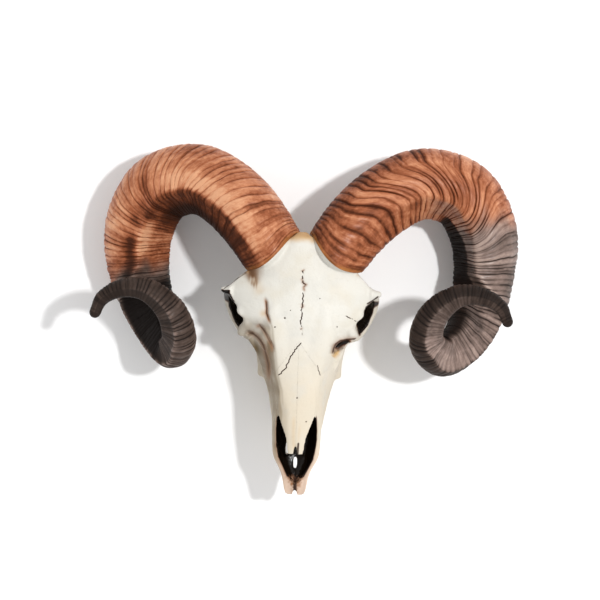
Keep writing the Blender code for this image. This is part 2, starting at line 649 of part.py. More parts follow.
def build():
    for thing in list(bpy.data.objects):
        bpy.data.objects.remove(thing)
    scene = bpy.context.scene.collection
    ram = bpy.data.collections.new("ram_skull")
    cutters = bpy.data.collections.new("cutters")
    scene.children.link(ram)
    scene.children.link(cutters)

    whole = turned(whole_skull(ram, cutters))
    for side in (1, -1):
        cut(whole, mouth_cutter(f"horn_mouth_{side}", side, cutters))
    whole = made_mesh(whole, "whole_skull", ram)

    wide = (-BLOCK_REACH, BLOCK_REACH)
    rear_of_cheek = turned(line_block("rear_of_cheek", CHEEK_SUTURE, False, wide, cutters))
    rear_of_muzzle = turned(line_block("rear_of_muzzle", MUZZLE_SUTURE, False, wide, cutters))
    nasal_bed = turned(nasal_block("nasal_bed", 0, SEAM, cutters))
    nasals = whole.copy()
    nasals.data = whole.data.copy()
    ram.objects.link(nasals)
    cut(whole, nasal_bed)
    rest = made_mesh(whole, "without_nasals", ram)
    made = [bone("cranium", rest, [rear_of_cheek], ram)]
    for side, word in ((1, "left"), (-1, "right")):
        half = (SEAM / 2, BLOCK_REACH) if side > 0 else (-BLOCK_REACH, -SEAM / 2)
        own_half = turned(line_block("half_" + word, CHEEK_SUTURE, True, half, cutters))
        own_tip = turned(line_block("tip_" + word, MUZZLE_SUTURE, True, half, cutters))
        own_bed = turned(nasal_block("nasal_" + word + "_bed", side, 0, cutters))
        made.append(bone("maxilla_" + word, rest, [own_half, rear_of_muzzle], ram))
        cut(made[-1], turned(tooth_row("teeth_" + word, side, cutters)), "UNION")
        made.append(bone("premaxilla_" + word, rest, [own_tip], ram))
        made.append(bone("nasal_" + word, nasals, [own_bed], ram))
        made.append(horn("horn_" + word, side, ram))
    for whole in (rest, nasals):
        bpy.data.objects.remove(whole)
    for thing in made + list(cutters.objects):
        moved(thing, *TO_CENTRE)
    return made, cutters


def material(name, colour, roughness):
    made = bpy.data.materials.new(name)
    made.use_nodes = True
    shader = made.node_tree.nodes["Principled BSDF"]
    shader.inputs["Base Color"].default_value = (*colour, 1)
    shader.inputs["Roughness"].default_value = roughness
    shader.inputs["Metallic"].default_value = 0
    return made


PIECES, CUTTERS = build()
BONE = material("pale bone", (0.82, 0.77, 0.66), 0.5)
MUZZLE = material("warm bone", (0.79, 0.66, 0.52), 0.45)
HORN = material("copper-brown horn", (0.42, 0.20, 0.11), 0.42)
FINISH = {"cranium": BONE, "maxilla": BONE, "nasal": BONE, "premaxilla": MUZZLE, "horn": HORN}
for piece in PIECES:
    piece.data.materials.clear()
    piece.data.materials.append(FINISH[piece.name.split("_")[0]])
    piece.data.shade_smooth()
    piece.data.set_sharp_from_angle(angle=math.radians(SHARP_ANGLE))
for cutter in CUTTERS.objects:
    cutter.hide_render = True
    cutter.display_type = "WIRE"
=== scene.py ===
"""A ram's skull with both horn sheaths, face up on a pale floor: bones, cheek teeth, horns, floor, light."""
import math

import bmesh
import bpy
import numpy as np
from mathutils import Matrix, Vector


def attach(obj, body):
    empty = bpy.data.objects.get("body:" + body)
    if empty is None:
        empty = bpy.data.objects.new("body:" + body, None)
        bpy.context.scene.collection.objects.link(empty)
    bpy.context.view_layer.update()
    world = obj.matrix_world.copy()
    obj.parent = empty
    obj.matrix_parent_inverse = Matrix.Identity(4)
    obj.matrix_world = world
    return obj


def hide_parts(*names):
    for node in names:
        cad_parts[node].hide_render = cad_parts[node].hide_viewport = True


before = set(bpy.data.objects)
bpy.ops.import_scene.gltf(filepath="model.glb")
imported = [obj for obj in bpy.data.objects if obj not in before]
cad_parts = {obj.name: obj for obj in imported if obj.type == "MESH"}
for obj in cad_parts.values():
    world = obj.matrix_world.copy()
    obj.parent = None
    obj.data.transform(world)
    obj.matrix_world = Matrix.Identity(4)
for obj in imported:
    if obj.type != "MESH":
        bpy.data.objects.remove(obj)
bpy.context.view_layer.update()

# ------------------------------------------------------------------------------------------- skull bones
# The upper skull: frontal roof, braincase, face, nasal bones and muzzle, thin bone grown together along
# fine sutures. It is bleached, cream over the nose and pink-brown at the muzzle, with the eye sockets and
# the nasal cavity dark and glossy. Each bone keeps the sutures that part it from the next one.
MM = 0.001
TO_CENTRE = (-4.8, -0.6)
FACE_TURN = -0.65
CROWN = (0, 78)
# voxel sizes: of the raised forms and hollows before they are joined, of the slits, and of the whole skull
ROUGH_GRAIN, SLIT_GRAIN, GRAIN = 1.1, 0.7, 0.95

# roof of the skull: y, half width, height in the middle, height at the edge, thickness
FRONTAL = (
    (79, 4, 101, 100, 12), (74, 9, 104, 102, 22), (60, 27, 106, 100, 30), (42, 52, 106, 91, 30),
    (32, 62, 105.5, 85, 24), (25, 70, 105, 80, 15), (18, 64, 104.5, 82, 13), (8, 55, 104, 87, 16),
    (-4, 49, 103, 87, 20), (-16, 42, 102.5, 82, 26), (-34, 28, 101, 88, 24),
)
# face: y, then half width and height of its roof, cheek and base
FACE = (
    (48, 20, 98, 26, 78, 18, 46), (25, 24, 101, 26, 78, 18, 40), (5, 30, 101, 29, 74, 21, 34),
    (-12, 31, 101, 41, 66, 25, 23), (-32, 23, 100, 37, 55, 27, 17), (-50, 18.5, 98.5, 34.5, 48, 27, 17.5),
    (-62, 16.5, 97, 30, 48, 25.5, 20), (-76, 16.5, 94.5, 25.5, 54, 23, 24.5), (-90, 19, 89.5, 23, 60, 20, 30),
    (-106, 19.8, 84, 21.6, 63, 17, 39), (-124, 17.6, 79, 19.2, 65, 14, 48),
    (-141, 10, 76, 11.8, 66, 10.3, 56), (-151, 9, 74.5, 10.2, 67, 9.6, 59.5),
    (-157, 7.6, 72.5, 9.6, 67, 8.6, 61), (-160.5, 5, 70, 7, 67, 6, 63),
)
# nasal bones: y, half width, height in the middle, height at the edge, thickness
NASAL = (
    (-40, 16, 100.5, 98, 10), (-70, 17, 98.5, 94.5, 7), (-84, 17, 97.5, 92.5, 4.4),
    (-95, 13.8, 96.5, 92.5, 4), (-106, 9.6, 95.5, 92.5, 3.8), (-121, 7.2, 94, 92, 3.2),
)
# nasal cavity: y, half width, height of its floor, height of its open top
NASAL_CAVITY = (
    (-58, 8, 70, 82), (-74, 13, 62, 86), (-82, 15.2, 59, 92), (-88, 16.6, 58, 104), (-100, 17.8, 58, 110),
    (-118, 16.8, 60, 110), (-128, 14.6, 62, 110), (-136, 10.6, 63.5, 110), (-144, 6, 66, 110),
    (-149, 2.2, 69, 110),
)
# slits beside and between the muzzle bones: x, y, half width, half length; the notch before the nasal bones:
# half width, y of its tip, length
PALATE_SLITS = ((8, -120, 1.2, 9), (-8.3, -118.5, 1.3, 9), (-0.6, -131, 1.5, 7.5), (0, -162, 2, 8))
NASAL_NOTCH = (2.2, -121, 12)
# eye sockets: the rim's centre, facing and two radii; the hollow's radius, depth, how far it stands out past
# the rim, and its stretch along its own axis
EYE_CENTRE = (56, 4, 63)
EYE_NORMAL = (0.85, -0.43, 0.29)
EYE_RING = (22, 4.6)
EYE_SOCKET = (19.5, 27, 9, 1.35)
# other hollows: centre, radii and, for the pit before the left eye, its turn in degrees
TEMPLE_HOLLOW = ((48, 28, 62), (17, 20, 16))
PALATE_HOLLOW = ((0, -52, 14), (17, 62, 15))
TEAR_PIT = ((37, -22.5, 80), (10, 3.6, 8), 38)
LEFT_FLANK = ((49.5, -29, 62), (10, 12, 26))
# the swelling over each eye, and the bony edge at its front corner: x, y, z, radius
BROW_SWELL = ((51, 7, 85), (7, 6.5, 4))
EYE_CORNERS = (((43, -4, 87, 4.6), (46.5, -9, 82, 5), (48.5, -14, 75, 5)),
               ((-45, -4, 87, 4.6), (-51, -9, 82, 4.6), (-53, -14, 75, 4.6)))

# the horn's axis: x, y, z, half width; the bony horn cores stand at its first point
HORN_AXIS = (
    (28, 61, 83, 31.5), (45, 85, 78, 32.5), (71, 111, 65, 33.5), (104, 127, 53, 34), (140, 118, 43, 34),
    (160, 82, 36, 33), (161, 46, 31, 30), (156, 12, 33, 26.5), (145, -15, 46, 22), (126, -31, 64, 19.2),
    (111.5, -17, 87, 16.6), (118.5, 8, 101, 14.2), (142, 25, 106, 11), (166, 23, 106, 8.8),
    (179, 14, 105, 7.2), (184, 3, 104, 5.4),
)
RIGHT_ROWS = {7: (151, 12, 33, 25.2), 8: (138, -15, 46, 19.5), 9: (122.5, -31, 64, 17.2)}
HORN_STEPS = (41, 60)
HORN_LEAN = 0.09
LEAN_LEVEL = 105
# its section, by distance along: where the keel is, in degrees from up; half the degrees that the flat inner
# face beyond it spans; and the share of its full height that the crest on the keel has grown to
KEEL = ((0, 32), (60, 29), (110, 26), (190, 18), (226, 14), (238, -4), (250, -44), (262, -74), (280, -84),
        (300, -76), (318, -54), (334, -22), (350, 4), (412, 10), (470, 0))
INNER_FACE = ((0, 13), (40, 23), (85, 35), (190, 38), (235, 40), (262, 50), (290, 52), (310, 44), (350, 37),
              (412, 31), (470, 14))
CREST_GROWS = ((0, 0.1), (60, 0.4), (120, 1))
KEEL_CREST = (0.045, 10)
SECTION_FLAT = 0.03
FACE_CORNER = 34
# its mouth: how far its front reaches over the forehead, left and right, the angle where it reaches furthest,
# the width of its rim as a share of the horn's, and the gap between two bones or bone and horn
MOUTH_BULGE = {1: 14, -1: 13}
BULGE_ANGLE = 15
MOUTH_EDGE = 0.94
SEAM = 0.04


def curve_through(stations, count):
    """Rows of a table on a smooth curve: a cubic through neighbouring rows with slopes taken across both
    sides of each row, read at evenly spaced distances."""
    rows = np.array(stations, float)
    width = min(rows.shape[1], 3)
    knots = np.concatenate(([0], np.cumsum(np.sqrt((np.diff(rows[:, :width], axis=0) ** 2).sum(1)))))
    slopes = np.gradient(rows, knots, axis=0)
    at = np.linspace(0, knots[-1], count)
    left = np.clip(np.searchsorted(knots, at, side="right") - 1, 0, len(rows) - 2)
    span = (knots[left + 1] - knots[left])[:, None]
    t = (at - knots[left])[:, None] / span
    return ((2 * t ** 3 - 3 * t ** 2 + 1) * rows[left] + (t ** 3 - 2 * t ** 2 + t) * span * slopes[left]
            + (3 * t ** 2 - 2 * t ** 3) * rows[left + 1] + (t ** 3 - t ** 2) * span * slopes[left + 1])


def added(name, data):
    """A new object over that data, put into the scene."""
    made = bpy.data.objects.new(name, data)
    bpy.context.scene.collection.objects.link(made)
    return made


def unit(vectors):
    """Vectors divided by their own length."""
    return vectors / np.maximum(np.linalg.norm(vectors, axis=-1, keepdims=True), 1e-9)


def step(low, high, value):
    """Rises smoothly from 0 at low to 1 at high: 3t^2 - 2t^3 of the share t of the way."""
    t = np.clip((value - low) / (high - low), 0, 1)
    return t * t * (3 - 2 * t)


def by(table, values):
    """Values read off a table of two columns, straight between its rows."""
    return np.interp(values, *np.array(table).T)


def between(value, low, start, end, high):
    """Rises smoothly from 0 at low to 1 at start and falls again from end to high."""
    return step(low, start, value) * step(high, end, value)


def bell(value, middle, half):
    """exp of minus the square of the distance from the middle over the half width."""
    return np.exp(-((value - middle) / half) ** 2)


def skin(rings, round_ends=True):
    """Points and faces of a closed body over a grid of points (ring, side): each cell is one four-sided face,
    the last side joins the first, and each end is a fan to the middle of its ring, or joins the other end."""
    rings = np.asarray(rings, float)
    count, sides = rings.shape[:2]
    last = count - 1 if round_ends else count
    ring, side = np.meshgrid(np.arange(last), np.arange(sides), indexing="ij")
    nxt = (ring + 1) % count
    cells = np.stack((ring * sides + side, ring * sides + (side + 1) % sides,
                      nxt * sides + (side + 1) % sides, nxt * sides + side), -1).reshape(-1, 4)
    points = rings.reshape(-1, 3)
    fans = np.zeros((0, 3), int)
    if round_ends:
        points = np.concatenate((points, rings[:1].mean(1), rings[-1:].mean(1)))
        side = np.arange(sides)
        turned, top = (side + 1) % sides, (count - 1) * sides
        fans = np.concatenate((np.stack((np.full(sides, count * sides), turned, side), 1),
                               np.stack((np.full(sides, count * sides + 1), top + side, top + turned), 1)))
    a, b, c, d = (points[cells[:, i]] for i in range(4))
    volume = (a * np.cross(b, c)).sum() + (a * np.cross(c, d)).sum()
    if len(fans):
        a, b, c = (points[fans[:, i]] for i in range(3))
        volume += (a * np.cross(b, c)).sum()
    if volume < 0:
        cells, fans = cells[:, ::-1], fans[:, ::-1]
    return points, cells, fans


def solid(name, *shapes):
    """One object from the points and faces of several closed bodies, with millimetres made metres."""
    starts = np.cumsum([0] + [len(points) for points, _, _ in shapes])
    points = np.concatenate([points for points, _, _ in shapes]) * MM
    cells = np.concatenate([cells + start for (_, cells, _), start in zip(shapes, starts)])
    fans = np.concatenate([fans + start for (_, _, fans), start in zip(shapes, starts)])
    sizes = np.concatenate((np.full(len(cells), 4), np.full(len(fans), 3)))
    mesh = bpy.data.meshes.new(name)
    mesh.vertices.add(len(points))
    mesh.vertices.foreach_set("co", points.astype(np.float32).ravel())
    mesh.loops.add(int(sizes.sum()))
    mesh.loops.foreach_set("vertex_index", np.concatenate((cells.ravel(), fans.ravel())).astype(np.int32))
    mesh.polygons.add(len(sizes))
    mesh.polygons.foreach_set("loop_start", (np.cumsum(sizes) - sizes).astype(np.int32))
    mesh.update(calc_edges=True)
    return added(name, mesh)


def egg(centre, radii, axes=None):
    """An ellipsoid: centre + radius * (cos u cos v, cos u sin v, sin u) on its own three axes."""
    u = np.linspace(-math.pi / 2, math.pi / 2, 26)[1:-1, None]
    v = np.linspace(0, 2 * math.pi, 36, endpoint=False)[None]
    ball = np.stack((np.cos(u) * np.cos(v), np.cos(u) * np.sin(v), np.sin(u) + 0 * v), -1) * np.array(radii)
    return skin(np.array(centre) + (ball if axes is None else ball @ np.array(axes)))


def limb(route, sides=20):
    """A bar of changing thickness: a circle of each radius carried square to a smooth path, drawn in at both
    ends."""
    path = curve_through(route, 8 * len(route))
    axis, radius = path[:, :3], path[:, 3].copy()
    along = unit(np.gradient(axis, axis=0))
    across = unit(np.cross(along, (0.02, 0.03, 1.0)))
    up = np.cross(across, along)
    radius[[0, -1]] *= 0.45
    turn = np.linspace(0, 2 * math.pi, sides, endpoint=False)
    ring = np.cos(turn)[None, :, None] * across[:, None] + np.sin(turn)[None, :, None] * up[:, None]
    return skin(axis[:, None] + radius[:, None, None] * ring)


def plate(stations, count):
    """A curved plate along y: its top falls from the middle to the edges as |x| to the power 2.2, and its
    underside lies under it by a thickness that thins towards the edges."""
    rings = []
    across = np.linspace(-1, 1, 31)
    for y, half, middle, edge, thick in curve_through(stations, count):
        top = middle - (middle - edge) * np.abs(across) ** 2.2
        under = top - thick * (1 - 0.75 * np.abs(across) ** 3)
        x, z = half * np.concatenate((across, across[::-1])), np.concatenate((top, under[::-1]))
        rings.append(np.stack((x, np.full(len(x), y), z), 1))
    return skin(rings)


def face_shell(count=80):
    """The face along y: a smooth closed loop through roof, cheek and base corners of each section."""
    rings = []
    for y, roof, roof_z, cheek, cheek_z, base, base_z in curve_through(FACE, count):
        half = [(0, roof_z + 0.6), (roof, roof_z - 2.5), ((roof + cheek) / 2 + 1, (roof_z + cheek_z) / 2 + 4),
                (cheek, cheek_z), (base, base_z), (base * 0.55, base_z - 0.5)]
        loop = half + [(-x, z) for x, z in half[:0:-1]]
        ring = curve_through(loop + loop[:1], 65)[:-1]
        rings.append(np.stack((ring[:, 0], np.full(len(ring), y), ring[:, 1]), 1))
    return skin(rings)


def cavity_shell(count=60):
    """The nasal cavity along y: a squared oval, cos and sin to the power 0.7, between floor and open top."""
    rings = []
    turn = np.linspace(0, 2 * math.pi, 40, endpoint=False)
    for y, half, floor, top in curve_through(NASAL_CAVITY, count):
        x = half * np.sign(np.cos(turn)) * np.abs(np.cos(turn)) ** 0.7
        z = (floor + top) / 2 + (top - floor) / 2 * np.sign(np.sin(turn)) * np.abs(np.sin(turn)) ** 0.7
        rings.append(np.stack((x, np.full(len(x), y), z), 1))
    return skin(rings)


def eye_axes(side):
    """Three axes of an eye socket, the last one pointing out of it."""
    out = unit(np.array(EYE_NORMAL) * (side, 1, 1))
    flat = unit(np.cross(out, (0, 0, 1)))
    return np.array((flat, np.cross(out, flat), out))


def eye_rim(side):
    """The raised rim of an eye socket: a small circle carried round a large one."""
    u = np.linspace(0, 2 * math.pi, 60, endpoint=False)[:, None]
    v = np.linspace(0, 2 * math.pi, 20, endpoint=False)
    major, minor = EYE_RING
    away = major + minor * np.cos(v)
    ring = np.stack((away * np.cos(u), away * np.sin(u), minor * np.sin(v) + 0 * u), -1)
    return skin(np.array(EYE_CENTRE) * (side, 1, 1) + ring @ eye_axes(side), round_ends=False)


def eye_socket(side):
    """The hollow of one eye, an ellipsoid that stands out past the rim: its centre, radii and axes."""
    radius, depth, stand, stretch = EYE_SOCKET
    axes = eye_axes(side)
    centre = np.array(EYE_CENTRE) * (side, 1, 1) - axes[2] * (depth - stand) / 2
    return centre, (radius, radius, (depth + stand) / 2 * stretch), axes


def temple(side):
    """The hollow behind one eye: its centre and radii."""
    centre, radii = TEMPLE_HOLLOW
    return np.array(centre) * (side, 1, 1), radii


def horn_frame(side):
    """One horn's axis in fine steps: its points, its half widths and three directions: along it, as the chord
    over one coarse step to each side, towards the inside of its bend, and up."""
    coarse, parts = HORN_STEPS
    rows = [RIGHT_ROWS.get(number, row) if side < 0 else row for number, row in enumerate(HORN_AXIS)]
    path = curve_through(rows, coarse * parts + 1)
    number = np.arange(len(path))
    ahead, behind = np.minimum(number + parts, len(path) - 1), np.maximum(number - parts, 0)
    along = unit(path[ahead, :3] - path[behind, :3])
    inside = unit(np.cross(along, (0, 0, 1)))
    return path[:, :3], path[:, 3], along, inside, np.cross(inside, along)


def horn_section(place, off):
    """The reach of the horn's surface from its axis, as a share of the half width, and its angle from up, by
    the distance along and the angle from the keel: an oval, cut by a flat inner face, 1 over the cosine of
    the angle from the middle of that face, by a soft minimum of the two, and a low bell on the keel."""
    rad = np.radians(off + by(KEEL, place))
    spread = np.radians(by(INNER_FACE, place))
    oval = 1 + SECTION_FLAT * np.cos(2 * rad)
    face = np.cos(spread) / np.maximum(np.cos(np.radians(off) - spread), 0.2)
    reach = -np.log(np.exp(-FACE_CORNER * oval) + np.exp(-FACE_CORNER * face)) / FACE_CORNER
    crest = KEEL_CREST[0] * by(CREST_GROWS, place)
    return reach + crest * bell(off, 0, KEEL_CREST[1]), rad


def bulge(side, rad):
    """How far the front of the horn's mouth reaches over the forehead: cos squared of the angle from where it
    does most."""
    return MOUTH_BULGE[side] * np.maximum(np.cos(rad - math.radians(BULGE_ANGLE)), 0) ** 2


def mouth_rings(side, rise, shares, sides):
    """Rings in the horn's mouth at shares of its width, reaching forward in proportion and moved by rise."""
    axis, width, along, inside, up = horn_frame(side)
    reach, rad = horn_section(0, np.linspace(-180, 180, sides, endpoint=False))
    spoke = np.cos(rad)[:, None] * up[0] + np.sin(rad)[:, None] * inside[0]
    shares, rise = np.array(shares)[:, None, None], np.reshape(rise, (-1, 1, 1))
    return (axis[0] + (rise - shares * bulge(side, rad)[:, None]) * along[0]
            + shares * (width[0] * reach)[:, None] * spoke)


def leaned(points):
    """Horn points moved sideways by a share of their depth under the forehead."""
    points = points.copy()
    points[..., 0] += HORN_LEAN * (LEAN_LEVEL - points[..., 2])
    return points


def mouth_cutter(side):
    """What the horn's mouth takes out of the bone: the mouth's own surface a seam further back, spread past
    the horn, and drawn out along it."""
    near = mouth_rings(side, -SEAM, np.linspace(0.03, 1.25, 14), 120)
    far = near[-1:] + (60 + bulge(side, 0)) * horn_frame(side)[2][0]
    return skin(leaned(np.concatenate((near, far)) * (side, 1, 1)))


def horn_core(side):
    """The stump of bone that carries one horn: the mouth's own outline, drawn in as it goes down into the
    skull."""
    rings = mouth_rings(side, (-9.5, -7, -4.2, -2, -0.6, 2), (0.25, 0.5, 0.7, 0.82, 0.88, 0.9), 90)
    return skin(leaned(rings * (side, 1, 1)))


def pair(make, route, *more):
    """The same form on the left side and, with every x turned round, on the right side."""
    rows = np.array(route, float)
    other = rows * np.where(np.arange(rows.shape[-1]) == 0, -1, 1)
    return [make(rows, *more), make(other, *more)]


def tear_pit():
    """The hollow before the left eye, an ellipsoid turned level: its centre, radii and axes."""
    centre, radii, turn = TEAR_PIT
    cos, sin = math.cos(math.radians(turn)), math.sin(math.radians(turn))
    return centre, radii, ((cos, sin, 0), (-sin, cos, 0), (0, 0, 1))


# raised forms in pairs, given for the left side. Swellings, as centre and radii: condyle, ear bulla, behind
# the ear, under the cheek. Bars, as x, y, z and radius: spur behind the ear, ridge over it, cheek arch, bar
# behind the eye, ridge of the cheek, ridge before the eye, wing of the palate, spike at the rear of the rim
SWELLINGS = (((12.5, 67, 37), (9.5, 9, 11)), ((21, 46, 31), (9, 12, 11)), ((34, 54, 46), (9, 11, 12)),
             ((48, 2, 37), (16, 19, 7.5)))
BARS = (
    ((31, 60, 46, 7), (31, 60, 32, 6), (28, 58, 20, 4.2), (25, 56, 12, 2.6)),
    ((28, 46, 50, 6), (36, 45, 53, 5.5), (43, 44, 56, 5)),
    ((41, -16, 50, 8), (54, -8, 44, 6.5), (62, 8, 42, 5.2), (59, 26, 45, 4.8), (48, 40, 50, 5.2),
     (33, 48, 54, 7)),
    ((65, 25, 79, 5), (66, 24, 66, 4.4), (63, 22, 54, 4.6), (61, 18, 45, 5)),
    ((46, -12, 50, 6), (36.5, -27, 48, 5.4), (34, -42, 45, 5.4), (33.5, -54, 42, 5.6)),
    ((46, -14, 76, 4.5), (38, -26, 72, 4), (31, -44, 68, 3.5)),
    ((15, -16, 26, 6), (12, 0, 27, 3.6), (11, 16, 33, 4)),
    ((61, 25, 84, 6), (67, 25, 81, 4.2), (73, 25.5, 79, 2.4)),
)


# in the middle: braincase, back and base as centre and radii, and the bar along the base
MIDDLE = (((0, 40, 65), (33, 35, 33)), ((0, 64, 62), (30, 10, 27)), ((0, 60, 44), (38, 12, 13)))
BASE_BAR = ((0, 70, 42, 11), (0, 40, 38, 11), (0, 12, 38, 10), (0, -4, 40, 9))
# the space between the wings of the palate, and the great hole at the back
WING_HOLLOW = ((0, 4, 28), (8.5, 20, 9))
GREAT_HOLE = ((0, 96, 51, 11), (0, 60, 56, 10), (0, 34, 60, 9))


def raised_forms():
    """Every raised form of the skull, as closed bodies that run into each other: roof, face, nasal bones, eye
    rims, braincase, back and base, then the pairs, the corners of the eyes and the horn cores."""
    forms = [plate(FRONTAL, 70), face_shell(), plate(NASAL, 50), eye_rim(1), eye_rim(-1)]
    forms += [egg(centre, radii) for centre, radii in MIDDLE] + [limb(BASE_BAR)]
    for centre, radii in SWELLINGS:
        forms += pair(egg, centre, radii)
    for route in BARS:
        forms += pair(limb, route)
    forms += pair(egg, *BROW_SWELL) + [limb(route) for route in EYE_CORNERS]
    return forms + [horn_core(1), horn_core(-1)]


def hollow_forms():
    """Every hollow of the skull but the nasal cavity, as closed bodies that run into each other: palate, the
    space between its wings, the great hole at the back, eyes, temples, and those of the left cheek."""
    hollows = [egg(*PALATE_HOLLOW), egg(*WING_HOLLOW), limb(GREAT_HOLE)]
    for side in (1, -1):
        hollows += [egg(*eye_socket(side)), egg(*temple(side))]
    return hollows + [egg(*tear_pit()), egg(*LEFT_FLANK)]


def change(thing, kind, **settings):
    """Adds one modifier with its settings."""
    made = thing.modifiers.new(kind.lower(), kind)
    for key, value in settings.items():
        setattr(made, key, value)


def settled(thing, name, *used):
    """A plain mesh object of what a thing's modifiers make; the thing and the cutters it used are removed."""
    bpy.context.view_layer.update()
    mesh = bpy.data.meshes.new_from_object(thing.evaluated_get(bpy.context.evaluated_depsgraph_get()))
    for old in (thing, *used):
        bpy.data.objects.remove(old)
    mesh.name = name
    return added(name, mesh)


def carve(thing, cutter, operation="DIFFERENCE"):
    """Cuts one closed mesh by another."""
    change(thing, "BOOLEAN", operation=operation, solver="MANIFOLD", object=cutter)


skull = solid("skull", *raised_forms())
change(skull, "REMESH", mode="VOXEL", voxel_size=ROUGH_GRAIN * MM)
hollows = solid("hollows", *hollow_forms())
change(hollows, "REMESH", mode="VOXEL", voxel_size=ROUGH_GRAIN * MM)
hollows = settled(hollows, "hollows")
cavity = solid("cavity", cavity_shell())
carve(skull, cavity)
carve(skull, hollows)
skull = settled(skull, "skull", cavity, hollows)
roof = solid("roof", plate(NASAL, 50))
join = bmesh.new()
join.from_mesh(skull.data)
join.from_mesh(roof.data)
join.to_mesh(skull.data)
join.free()
bpy.data.objects.remove(roof)
change(skull, "REMESH", mode="VOXEL", voxel_size=GRAIN * MM)
half, tip, long = NASAL_NOTCH
notch = [[(x, y, z) for x, y in ((-half, tip - 2), (half, tip - 2), (0.01, tip + long), (-0.01, tip + long))]
         for z in (86, 110)]
slits = [egg((x, y, 55), (wide, length, 30)) for x, y, wide, length in PALATE_SLITS]
slits = solid("slits", *slits, skin(notch))
change(slits, "REMESH", mode="VOXEL", voxel_size=SLIT_GRAIN * MM)
slits = settled(slits, "slits")
carve(skull, slits)
skull = settled(skull, "skull", slits)
change(skull, "REMESH", mode="VOXEL", voxel_size=GRAIN * MM)
change(skull, "SMOOTH", factor=0.5, iterations=8)
skull = settled(skull, "skull")


def placed(points):
    """Skull points turned about the crown by the face's small lean, then moved over the model's origin."""
    turn = math.radians(FACE_TURN)
    x, y = points[..., 0] - CROWN[0], points[..., 1] - CROWN[1]
    return np.stack((CROWN[0] + x * math.cos(turn) - y * math.sin(turn) + TO_CENTRE[0],
                     CROWN[1] + x * math.sin(turn) + y * math.cos(turn) + TO_CENTRE[1], points[..., 2]), -1)


def shifted(points):
    """Horn points moved over the model's origin."""
    return points + (*TO_CENTRE, 0)


def read_points(mesh, what="co"):
    """Vertex places in millimetres, or vertex normals, as one array."""
    flat = np.empty(len(mesh.vertices) * 3, np.float32)
    if what == "normal":
        mesh.vertex_normals.foreach_get("vector", flat)
        return flat.reshape(-1, 3).astype(float)
    mesh.vertices.foreach_get("co", flat)
    return flat.reshape(-1, 3).astype(float) / MM


def write_points(mesh, points):
    """Puts vertex places in millimetres into a mesh."""
    mesh.vertices.foreach_set("co", (points * MM).astype(np.float32).ravel())
    mesh.update()


def cloud(points, grain, seed):
    """Smooth chance values from -1 to 1: one number for each corner of a cubic lattice, blended between them
    by 3t^2 - 2t^3."""
    chance = np.random.default_rng(seed).uniform(-1, 1, 8192)
    cell = np.floor(points / grain).astype(np.int64)
    t = points / grain - cell
    t = t * t * (3 - 2 * t)
    total = np.zeros(len(points))
    for corner in np.ndindex(2, 2, 2):
        x, y, z = (cell + corner).T
        weight = np.prod(np.where(corner, t, 1 - t), axis=1)
        total += weight * chance[(x * 73856093 ^ y * 19349663 ^ z * 83492791) % 8192]
    return total


def from_line(points, line):
    """For each point seen from above: its distance to a chain of straight lines, and its share of the way
    along them."""
    line = np.array(line, float)
    best, share = np.full(len(points), 1e9), np.zeros(len(points))
    for number, (a, b) in enumerate(zip(line[:-1], line[1:])):
        to = b - a
        t = np.clip(((points[:, :2] - a) @ to) / (to @ to), 0, 1)
        away = np.hypot(*(points[:, :2] - a - t[:, None] * to).T)
        share = np.where(away < best, (number + t) / (len(line) - 1), share)
        best = np.minimum(away, best)
    return best, share


def jagged(line, sway, seed, spacing=1.3):
    """A line seen from above, cut into short steps whose joints stray sideways by chance."""
    line = np.array(line, float)
    knots = np.concatenate(([0], np.cumsum(np.hypot(*np.diff(line, axis=0).T))))
    at = np.arange(0, knots[-1], spacing)
    points = np.stack([np.interp(at, knots, line[:, i]) for i in (0, 1)], 1)
    points[1:] += np.random.default_rng(seed).uniform(-sway, sway, (len(points) - 1, 2)) * (1, 0.4)
    return points


# lines and marks on the roof of the skull, seen from above, in millimetres over the model's origin
MIDLINE = jagged(((-2.7, 47), (-4.2, 35), (-1.2, 31), (-3.1, 24), (-3.7, 13), (-4.4, 1.5), (-3.1, -15.5)),
                 0.9, 3)
DIAGONAL = jagged(((-3.6, -20), (-7.4, -25.6), (-13.5, -33.8), (-16.9, -42.8), (-24.3, -52)), 0.8, 5, 1.8)
SMALL_CRACK = jagged(((10.8, -40.4), (12.7, -46.7), (14.6, -51.1)), 0.4, 7)
BROW_CRACK = jagged(((31.2, 5), (37.5, 3.2), (46, -1.4)), 0.5, 9)
BROW_SLIT = ((-38, 20.5), (-36, 14.5), (-35.4, 9), (-35.6, 5), (-33.6, 0), (-31.5, -6))
SIDE_EDGE = ((-35.5, 9), (-33.6, 0.7), (-30, -7.8), (-29.3, -16.3), (-27.4, -27.9), (-26.1, -36.4),
             (-24.6, -50), (-20.3, -64.8), (-19.6, -73.5), (-17.7, -84))
# nutrient holes: x, y, radius
PITS = ((-6.5, -70.4, 0.8), (2.1, -91.7, 0.7), (-18.9, 1.0, 0.9), (-27.6, -7.3, 0.8), (12, 19, 0.5),
        (28, -6, 0.6), (-14, 8, 0.5))
# grooves before the right eye and down that cheek, with the low ridges beside them
GROOVE_A = ((-47.6, -8.2), (-41.8, -6.5), (-38.1, -9.8), (-35.7, -13.7), (-32.7, -19.3), (-29.9, -24.3),
            (-28.8, -32))
GROOVE_B = ((-56, -12.6), (-48.5, -13.7), (-43.7, -17), (-40.7, -20.4), (-38.2, -24.3), (-36.3, -31),
            (-33.6, -42), (-33, -62))
RIDGE_A = ((-49, -5.8), (-41.9, -3.6), (-38, -5.6), (-35, -10.5), (-31.5, -16.5))
RIDGE_B = ((-52, -10.3), (-43, -12.2), (-38.8, -17), (-36.6, -23), (-34, -30), (-32, -38.6))
